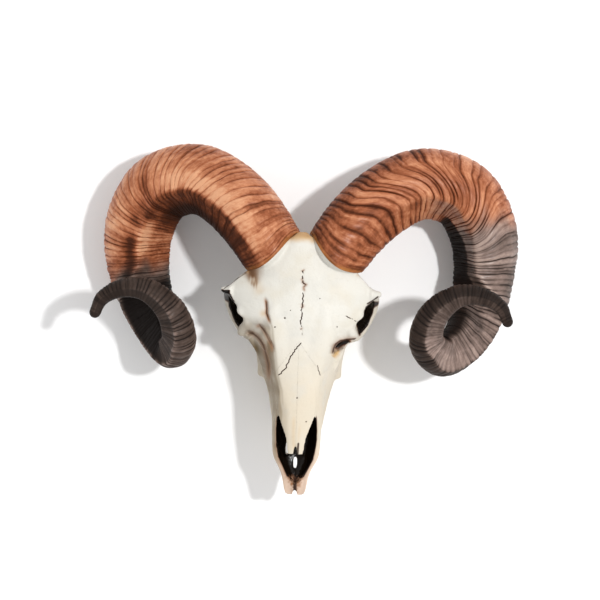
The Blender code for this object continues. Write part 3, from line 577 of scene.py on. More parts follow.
# the hollow before the left eye: its dark bottom, and the stained line along its upper edge to the eye socket
TEAR_BOTTOM = ((26.2, -27.5), (28.6, -23.6), (32.2, -21.2), (37, -19.6), (42, -18.2))
TEAR_EDGE = ((24.3, -31), (25.2, -26), (27, -21.4), (31, -18.6), (37, -17.3), (42.3, -16.8), (47.7, -16.6))
# where the black inside of the nose ends, seen from above, in the skull's own axes
NOSE_EDGES = (((17.8, -84), (18.6, -92), (19, -100), (19, -108), (17.4, -119), (15.8, -127), (12.3, -134),
               (8, -143), (3, -150)),
              ((-17.8, -84), (-18.4, -92), (-18.6, -100), (-18, -113), (-16, -125), (-11, -135), (-7.4, -144),
               (-3, -150)))
# where bone ends and the black of each eye socket starts, seen from above, and the y below which it is black
EYE_EDGES = {-1: ((-72, 24), (-69.7, 22), (-67.2, 16.9), (-65.7, 15.1), (-65.7, 11.1), (-64.5, 7.2),
                  (-61.7, 3.8), (-57.4, 0.1), (-58.7, -2.4), (-60.7, -6.3), (-62.4, -10.1), (-64, -13)),
             1: ((65, 23.7), (60.3, 18.5), (53.7, 12.6), (53.1, 10), (52.6, 7), (51.7, 3.7), (49.9, 1.5),
                 (46.4, -1.2), (45.6, -3.1), (46.9, -7.9), (48.2, -14))}
EYE_TOP = {-1: 25, 1: 19}
MUZZLE_SLIT = ((-7.3, -142), (-7.2, -161))
# open sutures, cracks, grooves and ridges as relief: the surface that carries them, the line, its half width,
# the share of its length over which each end fades, its height, and the share of this that wavers by chance
RELIEF_LINES = (
    ("roof", MIDLINE, 0.55, 0.06, -0.75, 1),
    ("roof", DIAGONAL, 0.5, 0.06, -0.8, 0.4),
    ("roof", SMALL_CRACK, 0.45, 0.06, -0.5, 0),
    ("roof", BROW_CRACK, 0.5, 0.06, -0.5, 1),
    ("roof", BROW_SLIT, 1.4, 0.25, -1.9, 0),
    ("flank", GROOVE_A, 1.3, 0.15, -1.7, 0),
    ("flank", GROOVE_B, 1.7, 0.1, -2.2, 0),
    ("flank", RIDGE_A, 1.3, 0.2, 0.9, 0),
    ("flank", RIDGE_B, 1.5, 0.2, 1.1, 0),
)
PIT_DEPTH = 0.9
# lines that are painted: the mark they make, the surface that carries them, the line, its half width, the
# share of its length over which each end fades, its strength, and the chance pattern that breaks it, from
# where it is gone to where it is whole
LINE_MARKS = (
    ("crack", "roof", MIDLINE, 0.5, 0.06, 1, ("gaps", -0.5, 0.2)),
    ("crack", "roof", DIAGONAL, 0.45, 0.06, 1, None),
    ("crack", "roof", SMALL_CRACK, 0.35, 0.06, 0.7, None),
    ("crack", "roof", BROW_CRACK, 0.4, 0.06, 1, ("gaps", -0.5, 0.2)),
    ("crack", "roof", BROW_SLIT, 0.6, 0.3, 0.6, None),
    ("crack", "roof", ((-4.4, -110), (-5, -122)), 0.9, 0.1, 0.8, None),
    ("crack", "muzzle", MUZZLE_SLIT, 1.7, 0.12, 0.9, ("specks", -1.2, -0.1)),
    # painted shade: a dark line along the upper edge of the right brow, where it rolls away from the lamp
    ("crack", "brow", ((-76.5, 25), (-69.6, 30.4), (-62.5, 35.8), (-54, 41.4)), 0.6, 0.05, 0.5, None),
    ("crack", "flank", ((53.5, 14.6), (60, 18.6), (65, 22.6)), 0.8, 0.1, 0.7, None),
    ("crack", "flank", GROOVE_A, 1, 0.3, 0.4, None),
    ("crack", "flank", GROOVE_B, 1.2, 0.15, 0.4, None),
    ("crack", "flank", TEAR_EDGE, 0.7, 0.1, 0.8, None),
    ("dark", "flank", TEAR_BOTTOM, 2.4, 0.25, 0.95, ("specks", -1.4, -0.3)),
    ("stain", "roof", MIDLINE, 1.3, 0.06, 0.75, ("patches", -0.1, 0.5)),
    ("stain", "roof", BROW_SLIT, 1.6, 0.2, 1, None),
    ("stain", "muzzle", MUZZLE_SLIT, 3.2, 0.15, 0.8, ("specks", -0.8, 0.3)),
    ("stain", "flank", TEAR_EDGE, 1.8, 0.1, 0.75, None),
    ("stain", "flank", TEAR_BOTTOM, 4.2, 0.1, 0.85, None),
    ("stain", "flank", GROOVE_A, 2, 0.15, 0.6, None),
    ("stain", "flank", GROOVE_B, 2.8, 0.1, 0.6, None),
    ("gold", "roof", ((-52, 40), (-44, 28), (-40, 20)), 5, 0.3, 0.3, None),
    ("gold", "roof", ((-9, -84), (-9, -106), (-8, -121)), 1.6, 0.2, 0.25, None),
    ("gold", "roof", ((-3.5, -92), (-4, -104), (-4.6, -112)), 1.2, 0.3, 0.2, None),
    ("gold", "flank", ((24.6, -34), (26.6, -31.5), (30, -28.5)), 2.6, 0.2, 0.9, None),
    ("gold", "flank", ((25.6, -33.5), (28.3, -29.9), (30.3, -27)), 1.5, 0.15, 0.95, None),
    ("olive", "flank", TEAR_EDGE[:3], 2.6, 0.1, 0.5, None),
)


def seam(points, line, half, ends=0.06):
    """1 on a line and 0 away from it, as a bell of that half width, fading out at the line's two ends."""
    away, share = from_line(points, line)
    return bell(away, 0, half) * step(0, ends, share) * step(1, 1 - ends, share)


def beside(points, line):
    """How far a point seen from above lies outside a line that runs down the skull's side, in millimetres."""
    line = np.array(line, float)[::-1]
    side = np.sign(line[-1, 0])
    return side * (points[:, 0] - np.interp(points[:, 1], line[:, 1], line[:, 0]))


def bone_relief(points, normals):
    """Height over the plain shape, along the normal: slow unevenness, fine pitting, the rounded end of the
    muzzle, the lines of the table above, and nutrient holes. Those on the roof act only where it looks up."""
    tilt, (_, y, z) = normals[:, 2], points.T
    ground = {"roof": step(0.35, 0.7, tilt) * step(84, 90, z),
              "flank": step(-0.1, 0.25, tilt) * step(60, 68, z)}
    height = 0.28 * cloud(points, 16, 11) + 0.12 * cloud(points, 6, 12) + 0.05 * cloud(points, 2.4, 13) - 0.12
    height -= 0.35 * step(-152, -157, y)
    broken = 0.55 + 0.45 * cloud(points, 3, 14)
    for surface, line, half, ends, rise, wavers in RELIEF_LINES:
        height += rise * ground[surface] * seam(points, line, half, ends) * (1 - wavers + wavers * broken)
    for px, py, radius in PITS:
        height -= PIT_DEPTH * ground["roof"] * bell(np.hypot(points[:, 0] - px, y - py), 0, radius)
    return height


write_points(skull.data, placed(read_points(skull.data)))
mouths = solid("mouths", *[(shifted(points), cells, fans) for points, cells, fans in
                           (mouth_cutter(1), mouth_cutter(-1))])
carve(skull, mouths)
skull = settled(skull, "skull", mouths)

# the mesh is made finer near the cracks and holes, where it looks up, then the relief is laid on
FINE_BY_LINE, FINE_BY_PIT, FINE_TILT, FINE_LEVEL = 2.2, 2, 0.1, 66
fine = bmesh.new()
fine.from_mesh(skull.data)
points, normals = read_points(skull.data), read_points(skull.data, "normal")
near = np.zeros(len(points), bool)
for line in (MIDLINE, DIAGONAL, SMALL_CRACK, BROW_CRACK, BROW_SLIT, GROOVE_A, GROOVE_B):
    near |= from_line(points, line)[0] < FINE_BY_LINE
for x, y, _ in PITS:
    near |= np.hypot(points[:, 0] - x, points[:, 1] - y) < FINE_BY_PIT
near &= (normals[:, 2] > FINE_TILT) & (points[:, 2] > FINE_LEVEL)
fine.verts.ensure_lookup_table()
chosen = [e for e in fine.edges if near[e.verts[0].index] and near[e.verts[1].index]]
bmesh.ops.subdivide_edges(fine, edges=chosen, cuts=2, use_grid_fill=True)
fine.to_mesh(skull.data)
fine.free()
points, normals = read_points(skull.data), read_points(skull.data, "normal")
write_points(skull.data, points + bone_relief(points, normals)[:, None] * normals)

# sutures seen from the side, as two points (y, z); the nasal bones' bed: its floor's height in front and
# behind, and half its outline from above; and limits well outside the skull: aside, below and above
CHEEK_SUTURE = ((-47, 92), (-7, 16))
MUZZLE_SUTURE = ((-86, 96), (-121, 40))
NASAL_BED = (88.5, 88)
NASAL_OUTLINE = ((0, -19), (21, -48), (18.8, -78), (17.6, -86), (17, -130), (0, -130))
FAR, UNDER, OVER = 300, -40, 160


def behind_line(line, front, low_x, high_x):
    """Everything behind, or in front of, a slanted line in (y, z), as a prism between two x values."""
    (y0, z0), (y1, z1) = line
    slope, way = (y1 - y0) / (z1 - z0), (-1 if front else 1)
    bottom, top = (y0 + slope * (z - z0) + way * SEAM / 2 for z in (UNDER, OVER))
    rings = [[(x, bottom, UNDER), (x, top, OVER), (x, way * FAR, OVER), (x, way * FAR, UNDER)]
             for x in (low_x, high_x)]
    points, cells, fans = skin(rings)
    return solid("prism", (placed(points), cells, fans))


def nasal_bed(side, grow):
    """The bed of one nasal bone, or of both when side is 0: its outline from above, drawn down to a sloping
    floor."""
    half = [(x + (grow if x else 0), y + (grow if y > -100 else 0)) for x, y in NASAL_OUTLINE]
    if side:
        outline = [(side * max(x, SEAM / 2), y) for x, y in half]
    else:
        outline = half + [(-x, y) for x, y in half[-2:0:-1]]
    front, rear = NASAL_BED
    floor = [(x, y, rear + (front - rear) * (-19 - y) / 111 - grow) for x, y in outline]
    points, cells, fans = skin([floor, [(x, y, 130) for x, y in outline]])
    return solid("bed", (placed(points), cells, fans))


def cut_free(name, whole, *blocks):
    """A copy of a larger piece of skull cut down to what lies inside every block."""
    piece = added(name, whole.data.copy())
    for cutter in blocks:
        carve(piece, cutter, "INTERSECT")
    return settled(piece, name, *blocks)


bed = nasal_bed(0, SEAM)
roofless = added("roofless", skull.data.copy())
carve(roofless, bed)
roofless = settled(roofless, "roofless", bed)
bones = {"cranium": cut_free("bone_cranium", roofless, behind_line(CHEEK_SUTURE, False, -FAR, FAR))}
for side, word in ((1, "left"), (-1, "right")):
    reach = sorted((side * SEAM / 2, side * FAR))
    upper, front, nasal = (kind + word for kind in ("maxilla_", "premaxilla_", "nasal_"))
    bones[upper] = cut_free("bone_" + upper, roofless, behind_line(CHEEK_SUTURE, True, *reach),
                            behind_line(MUZZLE_SUTURE, False, -FAR, FAR))
    bones[front] = cut_free("bone_" + front, roofless, behind_line(MUZZLE_SUTURE, True, *reach))
    bones[nasal] = cut_free("bone_" + nasal, skull, nasal_bed(side, 0))
for done in (skull, roofless):
    bpy.data.objects.remove(done)


def inside_cavity(points):
    """How far a point stands outside the walls of the nasal cavity, in millimetres; less than 0 is inside."""
    rows = curve_through(NASAL_CAVITY, 200)
    y = np.clip(points[:, 1], rows[-1, 0], rows[0, 0])
    half, floor, top = (np.interp(-y, -rows[:, 0], rows[:, i]) for i in (1, 2, 3))
    x, z = np.abs(points[:, 0]) / half, np.abs(points[:, 2] - (floor + top) / 2) / ((top - floor) / 2)
    share = (x ** (2 / 0.7) + z ** (2 / 0.7)) ** 0.35
    return np.maximum((share - 1) * half, np.abs(points[:, 1] - y))


def inside_egg(points, centre, radii, axes=None):
    """The same for an ellipsoid, as the share by which it would have to grow, times its smallest radius."""
    away = points - centre
    away = away if axes is None else away @ np.array(axes).T
    return (np.linalg.norm(away / np.array(radii), axis=1) - 1) * min(radii)


def unplaced(points):
    """Points over the model's origin taken back to the skull's own axes."""
    turn = math.radians(FACE_TURN)
    x, y = points[:, 0] - TO_CENTRE[0] - CROWN[0], points[:, 1] - TO_CENTRE[1] - CROWN[1]
    return np.stack((CROWN[0] + x * math.cos(turn) + y * math.sin(turn),
                     CROWN[1] - x * math.sin(turn) + y * math.cos(turn), points[:, 2]), -1)


def from_mouth(points, side):
    """How far a point lies outside the rim of one horn's mouth, how far off along the horn, and its angle."""
    axis, width, along, inside, up = horn_frame(side)
    own = (points - (*TO_CENTRE, 0))
    own[:, 0] -= HORN_LEAN * (LEAN_LEVEL - own[:, 2])
    away = own * (side, 1, 1) - axis[0]
    rad = np.arctan2(away @ inside[0], away @ up[0])
    off = (np.degrees(rad) - KEEL[0][1] + 180) % 360 - 180
    reach, _ = horn_section(0, off)
    aside = np.hypot(away @ inside[0], away @ up[0]) - MOUTH_EDGE * width[0] * reach
    return aside, np.abs(away @ along[0] + MOUTH_EDGE * bulge(side, rad)), rad


class Spots:
    """The vertices of one bone with what its marks are worked out from: places over the model's origin and in
    the skull's own axes, tilt, distances from the nose's black, chance, and which surface they lie on."""

    def __init__(self, node, points, normals):
        self.points, self.own, self.tilt = points, unplaced(points), normals[:, 2]
        self.x, self.y, self.z = points.T
        self.nasal = node.startswith("nasal")
        self.rim = inside_cavity(self.own)
        self.within = -np.maximum(*(beside(self.own, edge) for edge in NOSE_EDGES))
        self.fade = step(-137, -147, self.own[:, 1])
        self.chance = {"wander": 0.5 * cloud(points, 5, 21), "gaps": cloud(points, 2.5, 22),
                       "patches": cloud(points, 4, 23), "specks": cloud(points, 1.5, 24)}
        self.ground = {"roof": step(0.3, 0.6, self.tilt) * step(84, 90, self.z),
                       "flank": step(-0.1, 0.25, self.tilt) * step(60, 68, self.z),
                       "muzzle": step(0, 0.4, self.tilt) * (not self.nasal), "brow": step(70, 76, self.z)}


def black_marks(at):
    """The black of the nasal cavity, breaking into specks towards the muzzle, of the eye sockets and of the
    temples, and painted shade in black under the spike at the rear of the right eye's rim. Seen from above
    it ends along the lines that are set down for it."""
    wander, specks, own_y = at.chance["wander"], at.chance["specks"], at.own[:, 1]
    dark = step(0.9, -0.3, at.rim + wander) * (step(0.3, -0.2, at.tilt) if at.nasal else 1)
    for side in (1, -1):
        under = step(-1, 0.6, beside(at.points, EYE_EDGES[side]) + 0.4 * wander)
        socket = step(1.6, 0.4, inside_egg(at.own, *eye_socket(side)) + wander)
        top = EYE_TOP[side]
        rows = between(at.y, -15.5, -13, top - 4, top) * step(50, 56, at.z) * (side * at.x > 40)
        dark = np.maximum.reduce([dark, socket * np.maximum(under, step(0.1, -0.3, at.tilt)),
                                  under * rows * step(-0.4, 0.05, at.tilt),
                                  step(1, 0, inside_egg(at.own, *temple(side)) + wander)])
    rows = between(own_y, -150, -146, -88, -84) * step(57, 60, at.z) * (not at.nasal)
    dark = np.maximum(dark, step(-0.3, 0.8, at.within + 0.5 * wander) * rows * step(-0.5, 0, at.tilt))
    dark = dark * (1 - at.fade * step(-0.35, 0.35, specks + 0.9 * at.fade - 0.4) * step(60, 64, at.z))
    # painted shade: black under the spike at the rear of the right eye's rim
    corner = step(-68.6, -70.4, at.x + wander) * step(25.6, 24.4, at.y + 0.4 * specks) * step(55, 60, at.z)
    return np.maximum.reduce([dark, corner, 0.3 * step(1, 0, inside_egg(at.own, *PALATE_HOLLOW))])


def smear_mark(at):
    """The fan of streaks under the corner of the right horn's mouth: a bell about a slanting line that widens
    with y, broken into fibres."""
    rise = at.y - 28
    fibre = cloud(np.stack((at.x / 1.1, at.y / 7, at.z * 0), 1), 1, 27)
    fan = np.exp(-((at.x + 46.3 + 0.28 * rise) / (1.7 + 0.42 * np.maximum(rise, 0))) ** 2)
    return (fan * step(24, 32, at.y) * step(76, 84, at.z) * step(-1.2, 0.3, fibre + 0.06 * (at.y - 32))
            * (at.x < -38))


def flank_shade_marks(at):
    """Painted shade in dull brown on the right flank away from the lamp: all outside its edge, darkest below
    the eye.
    """
    out = beside(at.points, SIDE_EDGE)
    below_eye = seam(at.points, ((-53, -18), (-47.5, -23.5), (-44.5, -31), (-42.5, -42)), 7.5, 0.1)
    olive = np.maximum.reduce([
        (0.62 + 0.28 * between(at.y, -96, -60, -34, -20)) * step(-0.5, 3, out)
        * between(at.y, -104, -88, -8, 4),
        0.97 * below_eye * step(0, 4, out),
        0.9 * step(-2, 1.5, 3 - np.abs(out - 4)) * between(at.y, -70, -56, -22, -14),
        0.8 * seam(at.points, ((-42, -38), (-39.5, -50), (-35, -62)), 3.6, 0.15),
        0.3 * step(-6, 0, out) * step(-56, -84, at.y), 0.35 * step(-3, 1.5, out) * step(-12, -24, at.y),
        0.5 * seam(at.points, SIDE_EDGE, 1.2, 0.1),
        0.7 * step(4.5, 0.5, np.abs(at.within + 1.5)) * between(at.y, -140, -128, -90, -82)])
    olive = np.clip(olive * (0.85 + 0.25 * cloud(at.points, 9, 25)), 0, 1) * (at.x < 0)
    return olive * step(-0.3, 0.3, at.tilt) * step(36, 66, at.z)


def bone_marks(node, points, normals):
    """What the paint needs at each vertex: 1 in the dark hollows, in cracks, where brown stain lies, where
    the bone is yellow, and where painted shade on the right flank or the brown smear makes it a dull
    brown-olive."""
    at = Spots(node, points, normals)
    wander, specks, roof = at.chance["wander"], at.chance["specks"], at.ground["roof"]
    smear = smear_mark(at)
    apex = at.y + 3 * wander
    high = step(90, 95, at.z)
    # olive: painted shade on the right flank, the brown smear under the right horn's mouth, and the olive
    # edge of the hollow before the left eye
    marks = {"dark": black_marks(at), "crack": 0.36 * smear,
             "olive": np.maximum(flank_shade_marks(at), 0.9 * smear)}
    marks["stain"] = np.maximum.reduce([
        0.75 * smear, 0.45 * step(70, 76, apex) * high,
        0.75 * step(2.6, 0.2, np.abs(at.rim - 0.4) + 0.8 * wander) * step(-0.3, 0.2, at.tilt) * (not at.nasal)
        * (0.45 + 0.55 * step(-122, -142, at.y)),
        0.95 * at.fade * step(5, 1, at.rim) * at.ground["muzzle"] * step(-0.7, 0.3, specks),
        0.35 * roof * step(1.6, 0, np.abs(beside(points, EYE_EDGES[-1]) + 1)) * step(20, 12, at.y)])
    marks["gold"] = np.maximum(0.9 * step(66, 74, apex) * high,
                               0.5 * roof * np.exp(-((at.x + 38.5) ** 2 + (at.y - 4.5) ** 2) / 9))
    for side in (1, -1):
        aside, ahead, rad = from_mouth(points, side)
        near = step(-1, 0.2, aside) * step(3.6 + 1.4 * wander, 0.4, np.hypot(aside, 0.7 * ahead))
        near = near * step(-0.2, 0.3, np.cos(rad)) * (0.5 + 0.3 * (side < 0)) * step(70, 80, at.z)
        marks["gold"] = np.maximum(marks["gold"], near)
    for px, py, radius in PITS:
        pit = roof * bell(np.hypot(at.x - px, at.y - py), 0, 0.8 * radius)
        marks["crack"] = np.maximum(marks["crack"], pit)
    for mark, ground, line, half, ends, strength, broken in LINE_MARKS:
        drawn = strength * at.ground[ground] * seam(points, line, half, ends)
        if broken:
            pattern, low, high = broken
            drawn = drawn * step(low, high, at.chance[pattern])
        marks[mark] = np.maximum(marks[mark], drawn)
    return marks


def give(mesh, name, values):
    """Stores one number for each vertex under a name that the material reads."""
    store = mesh.attributes.new(name, "FLOAT", "POINT")
    store.data.foreach_set("value", np.clip(values, 0, 1).astype(np.float32))


class Socket:
    """The output of a shader node, with + - * / and > that add the Math node for them."""

    def __init__(self, paint, link):
        self.paint, self.link = paint, link

    def sum(self, operation, *values):
        return self.paint.node("ShaderNodeMath", {"operation": operation}, dict(enumerate(values)))

    def __add__(self, other): return self.sum("ADD", self, other)
    def __radd__(self, other): return self.sum("ADD", other, self)
    def __sub__(self, other): return self.sum("SUBTRACT", self, other)
    def __rsub__(self, other): return self.sum("SUBTRACT", other, self)
    def __mul__(self, other): return self.sum("MULTIPLY", self, other)
    def __rmul__(self, other): return self.sum("MULTIPLY", other, self)
    def __truediv__(self, other): return self.sum("DIVIDE", self, other)
    def __rtruediv__(self, other): return self.sum("DIVIDE", other, self)
    def __pow__(self, other): return self.sum("POWER", self, other)


class Paint:
    """One procedural material: node() adds any node, and shader() sets the Principled sockets."""

    def __init__(self, name):
        self.material = bpy.data.materials.new(name)
        self.material.use_nodes = True
        self.tree = self.material.node_tree
        self.bsdf = self.tree.nodes["Principled BSDF"]

    def node(self, kind, settings=None, inputs=None, output=0):
        """A node of that type: its settings, then a value or a link for each socket by name or number."""
        made = self.tree.nodes.new(kind)
        for key, value in (settings or {}).items():
            if key == "stops":
                ramp = made.color_ramp
                while len(ramp.elements) < len(value):
                    ramp.elements.new(1)
                for element, (place, colour) in zip(ramp.elements, value):
                    element.position, element.color = place, (*colour, 1)
            else:
                setattr(made, key, value)
        for key, value in (inputs or {}).items():
            self.join(made.inputs[key], value)
        return Socket(self, made.outputs[output])

    def join(self, socket, value):
        if isinstance(value, Socket):
            self.tree.links.new(value.link, socket)
        elif isinstance(value, tuple) and len(value) == 3 and socket.type == "RGBA":
            socket.default_value = (*value, 1)
        else:
            socket.default_value = value

    def mark(self, name):
        return self.node("ShaderNodeAttribute", {"attribute_name": name}, output="Fac")

    def place(self):
        return self.node("ShaderNodeTexCoord", output="Object")

    def noise(self, where, scale, detail=3.0, rough=0.55):
        return self.node("ShaderNodeTexNoise", None, {"Vector": where, "Scale": scale, "Detail": detail,
                                                      "Roughness": rough})

    def stretch(self, where, *scales):
        return self.node("ShaderNodeVectorMath", {"operation": "MULTIPLY"}, {0: where, 1: scales})

    def band(self, value, low, high, start=0.0, end=1.0):
        """Runs smoothly from start at low to end at high."""
        return self.node("ShaderNodeMapRange", {"interpolation_type": "SMOOTHSTEP"},
                         {"Value": value, "From Min": low, "From Max": high, "To Min": start, "To Max": end})

    def mix(self, share, first, second):
        return self.node("ShaderNodeMix", {"data_type": "RGBA"}, {0: share, 6: first, 7: second}, output=2)

    def bump(self, height, distance, strength=1.0):
        inputs = {"Strength": strength, "Distance": distance, "Height": height}
        return self.node("ShaderNodeBump", None, inputs)

    def shader(self, **sockets):
        for key, value in sockets.items():
            self.join(self.bsdf.inputs[key.replace("_", " ")], value)
        return self.material


def bone_paint():
    """Bleached bone: white forehead, cream nose and pink muzzle by place, soft grey and cream patches, olive
    painted shade on the right flank, brown and golden stain and cracks from the marks, black-brown gloss in
    the hollows."""
    paint = Paint("bleached bone")
    where = paint.place()
    y, z = (paint.node("ShaderNodeSeparateXYZ", None, {0: where}, output=i) for i in (1, 2))
    cream = paint.band(y, 0.01, -0.085)
    pink = paint.band(y, -0.10, -0.148) * paint.band(z, 0.093, 0.082)
    patch = paint.band(paint.noise(where, 30.0, 3.0), 0.46, 0.7)
    grey_patch = paint.band(paint.noise(where, 47.0, 2.0), 0.5, 0.72)
    fine = paint.noise(where, 260.0, 4.0, 0.65)
    dark = paint.mark("dark")
    black = paint.band(dark, 0.3, 0.8)
    colour = paint.mix(cream, (0.63, 0.61, 0.555), (0.60, 0.53, 0.42))
    for share, tint in (
            (patch * 0.5, (0.58, 0.53, 0.43)),
            (grey_patch * 0.4, (0.54, 0.53, 0.49)),
            (pink, (0.62, 0.46, 0.36)),
            (paint.band(z, 0.085, 0.03) * 0.6, (0.5, 0.42, 0.31)),
            (paint.band(fine, 0.55, 0.8) * 0.2, (0.44, 0.37, 0.28)),
            # painted shade on the right flank, with the brown smear and the olive edge of the hollow before
            # the left eye
            (paint.mark("olive"), (0.13, 0.083, 0.034)),
            (paint.mark("gold") * 0.85, (0.5, 0.28, 0.07)),
            (paint.mark("stain"), (0.24, 0.10, 0.036)),
            (paint.band(paint.mark("crack"), 0.1, 0.6), (0.035, 0.015, 0.008)),
            (paint.band(dark, 0.02, 0.45), (0.09, 0.036, 0.016)),
            (black, (0.006, 0.0035, 0.002))):
        colour = paint.mix(share, colour, tint)
    rough = paint.band(fine, 0.3, 0.7, 0.46, 0.6) * (1 - black) + black * 0.17
    height = paint.noise(where, 520.0, 3.0) + paint.noise(where, 130.0, 3.0)
    return paint.shader(Base_Color=colour, Roughness=rough, Specular_IOR_Level=0.2,
                        Normal=paint.bump(height, 0.0003, 0.8))


bone = bone_paint()
for node, piece in bones.items():
    for name, values in bone_marks(node, read_points(piece.data), read_points(piece.data, "normal")).items():
        give(piece.data, name, values)
    piece.data.materials.clear()
    piece.data.materials.append(bone)
    piece.data.shade_smooth()
    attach(piece, "root")
    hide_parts(node)

# ---------------------------------------------------------------------------------------- cheek teeth
# Six upper cheek teeth in a row on each side, tall folded columns of enamel and dentine, worn flat below.
# Each grows out of its socket in the jaw; brown tartar lies in the upright folds and along the gum line.
TOOTH_LENGTHS = (19, 16.5, 14.5, 11, 10, 8.5)
TOOTH_ROW_REAR = -14
# at the rear and at the front of the row: distance from the middle, width, and height
TOOTH_X = (23, 18)
TOOTH_WIDTH = (15.5, 10.5)
TOOTH_TALL = (30, 24)
# how far the chewing line rises from rear to front, by which power of the way, and its height over the floor
TOOTH_RISE = (16, 1.25, 0.13)
# how much wider the middle of a lobe is than the fold between two, as a share of the width
TOOTH_LOBE = 0.10


def tooth(side, done, length, lobes):
    """One cheek tooth: a squared oval whose outer and inner walls swell in one or two lobes, carried up along
    the tooth and narrowed towards the root; its chewing face is rings drawn in over two crescent ridges."""
    total = sum(TOOTH_LENGTHS)
    forward = (done + length / 2) / total
    wide, tall = (a + (b - a) * forward for a, b in (TOOTH_WIDTH, TOOTH_TALL))
    turn = np.linspace(0, 2 * math.pi, 72, endpoint=False)[None]
    level = np.concatenate((np.zeros(7), [0, 0.02, 0.06], np.linspace(0.1, 1, 22)))[:, None]
    draw = np.concatenate((np.linspace(0.12, 0.94, 7), [0.97, 1.0, 1.0], np.ones(22)))[:, None]
    cos, sin = np.cos(turn), np.sin(turn)
    y = 0.5 * (length - 0.5) * np.sign(cos) * np.abs(cos) ** 0.55
    x = 0.5 * wide * np.sign(sin) * np.abs(sin) ** 0.6
    swell = np.cos(2 * math.pi * lobes * y / length + (0 if lobes % 2 else math.pi))
    x = x * (1 - TOOTH_LOBE + TOOTH_LOBE * swell) * draw * (1 - 0.25 * level)
    y = y * draw * (1 - 0.04 * level) + 0 * x
    share = (done + length / 2 - y) / total
    rise, power, clear = TOOTH_RISE
    ridge = np.where(level > 0, 0, 1) * 0.7 * (1 - draw) * 2 * np.cos(2 * math.pi * 3 * draw)
    z = rise * np.clip(share, 0, 1) ** power + tall * level + ridge + clear
    x = TOOTH_X[0] + (TOOTH_X[1] - TOOTH_X[0]) * share + x
    rings = np.stack((x * side, TOOTH_ROW_REAR - share * total, z), -1)
    points, cells, fans = skin(rings)
    return placed(points), cells, fans


def tooth_paint():
    """Ivory enamel, browner in its folds and upwards to the gum line, with fine upright streaks."""
    paint = Paint("tooth enamel")
    where = paint.place()
    height = paint.node("ShaderNodeSeparateXYZ", None, {0: where}, output=2)
    upright = paint.stretch(where, 420.0, 420.0, 60.0)
    streak = paint.node("ShaderNodeTexNoise", None, {"Vector": upright, "Scale": 1.0, "Detail": 4.0})
    colour = paint.mix(paint.band(streak, 0.4, 0.75), (0.70, 0.60, 0.42), (0.30, 0.19, 0.09))
    colour = paint.mix(paint.band(height, 0.012, 0.03) * 0.45, colour, (0.22, 0.12, 0.05))
    return paint.shader(Base_Color=colour, Roughness=paint.band(streak, 0.3, 0.7, 0.28, 0.5),
                        Normal=paint.bump(streak, 0.0004, 0.5))


enamel = tooth_paint()
for side, word in ((1, "left"), (-1, "right")):
    starts = np.cumsum((0,) + TOOTH_LENGTHS[:-1])
    row = solid("teeth_" + word, *[tooth(side, start, length, 2 if length > 12 else 1)
                                   for start, length in zip(starts, TOOTH_LENGTHS)])
    row.data.materials.append(enamel)
    row.data.shade_smooth()
    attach(row, "root")
    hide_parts("maxilla_" + word)

# -------------------------------------------------------------------------------------------- horns
# Two hollow sheaths of horn, one over each bony core, curled once round. Growth ridges cross them like
# stacked collars with dark lines between; copper-brown over the arch, grey to black towards the tips.
# the round tip, in degrees of turn; rings in the mouth, as shares of its width; rings and sides of the sheath
TIP_TURNS = (0, 15, 30, 44, 58, 70, 80, 87)
MOUTH_SHARES = (0.03, 0.2, 0.4, 0.6, 0.8)
SHEATH = (880, 110)
# how the rim of the mouth rounds off: width as a share, by distance along
RIM = ((0, MOUTH_EDGE), (0.7, 0.965), (2, 0.985), (4.5, 1))
# usual gap between two growth lines, by distance along
RIB_SPACING = ((0, 2.0), (10, 3.2), (30, 5.6), (70, 7), (130, 6.5), (180, 4.6), (250, 4), (300, 3.4),
               (350, 2.9), (470, 2.4))
# the left and right horn: how far the lines sweep along it towards the keel, between which angles from the
# keel they do, the depth of their grooves and how wide these are
LINES = {1: (30, (-62, 2), 0.8, 0.6), -1: (17, (-96, 16), 0.42, 0.46)}
# how far the lines waver, and the strength of all relief, by distance along; then how far the sheath lies
# under the solid that carries it, and the least that is left of this on the ridges
WAVER = ((0, 0.6), (30, 1), (300, 0.7), (460, 0.35))
FORCE = ((0, 0.5), (6, 0.8), (30, 1), (440, 1), (461, 0.3))
SUNK, LEAST_SUNK = 0.85, 0.12
# copper and grey horn, from near black to palest
COPPER = ((0, (0.016, 0.005, 0.002)), (0.25, (0.085, 0.022, 0.008)), (0.55, (0.27, 0.08, 0.032)),
          (0.78, (0.46, 0.18, 0.085)), (1, (0.62, 0.31, 0.17)))
GREY = ((0, (0.007, 0.004, 0.003)), (0.25, (0.035, 0.023, 0.018)), (0.55, (0.085, 0.057, 0.046)),
        (0.8, (0.19, 0.13, 0.108)), (1, (0.33, 0.24, 0.20)))


def growth_lines(spot, flat, seed, finer, reach):
    """For each point: how strongly it lies in a groove and in the wider hollow round it, the height of the
    pillow between two grooves, and which gap it is. Groove and hollow are bells, the first of width reach,
    whose strength drifts round the horn by chance."""
    chance = np.random.default_rng(seed)
    lines = [-2.0]
    while lines[-1] < 480:
        lines.append(lines[-1] + by(RIB_SPACING, lines[-1]) * finer * chance.uniform(0.5, 1.5))
    lines = np.array(lines)
    number = np.clip(np.searchsorted(lines, spot) - 1, 0, len(lines) - 2)
    gap = lines[number + 1] - lines[number]
    share = (spot - lines[number]) / gap
    away = np.where(share > 0.5, 1 - share, share) * gap
    nearest = number + (share > 0.5)
    by_line = np.stack((nearest * 31.7, flat[:, 1], flat[:, 2]), 1)
    own = chance.uniform(0.15, 1, len(lines) + 1)[nearest]
    strength = np.clip(own + 0.75 * cloud(by_line, 17, seed + 2), 0, 1.2)
    return (bell(away, 0, reach) * strength, bell(away, 0, 3 * reach) * strength,
            np.maximum(1 - (2 * share - 1) ** 2, 0) ** 0.75 * gap, number)


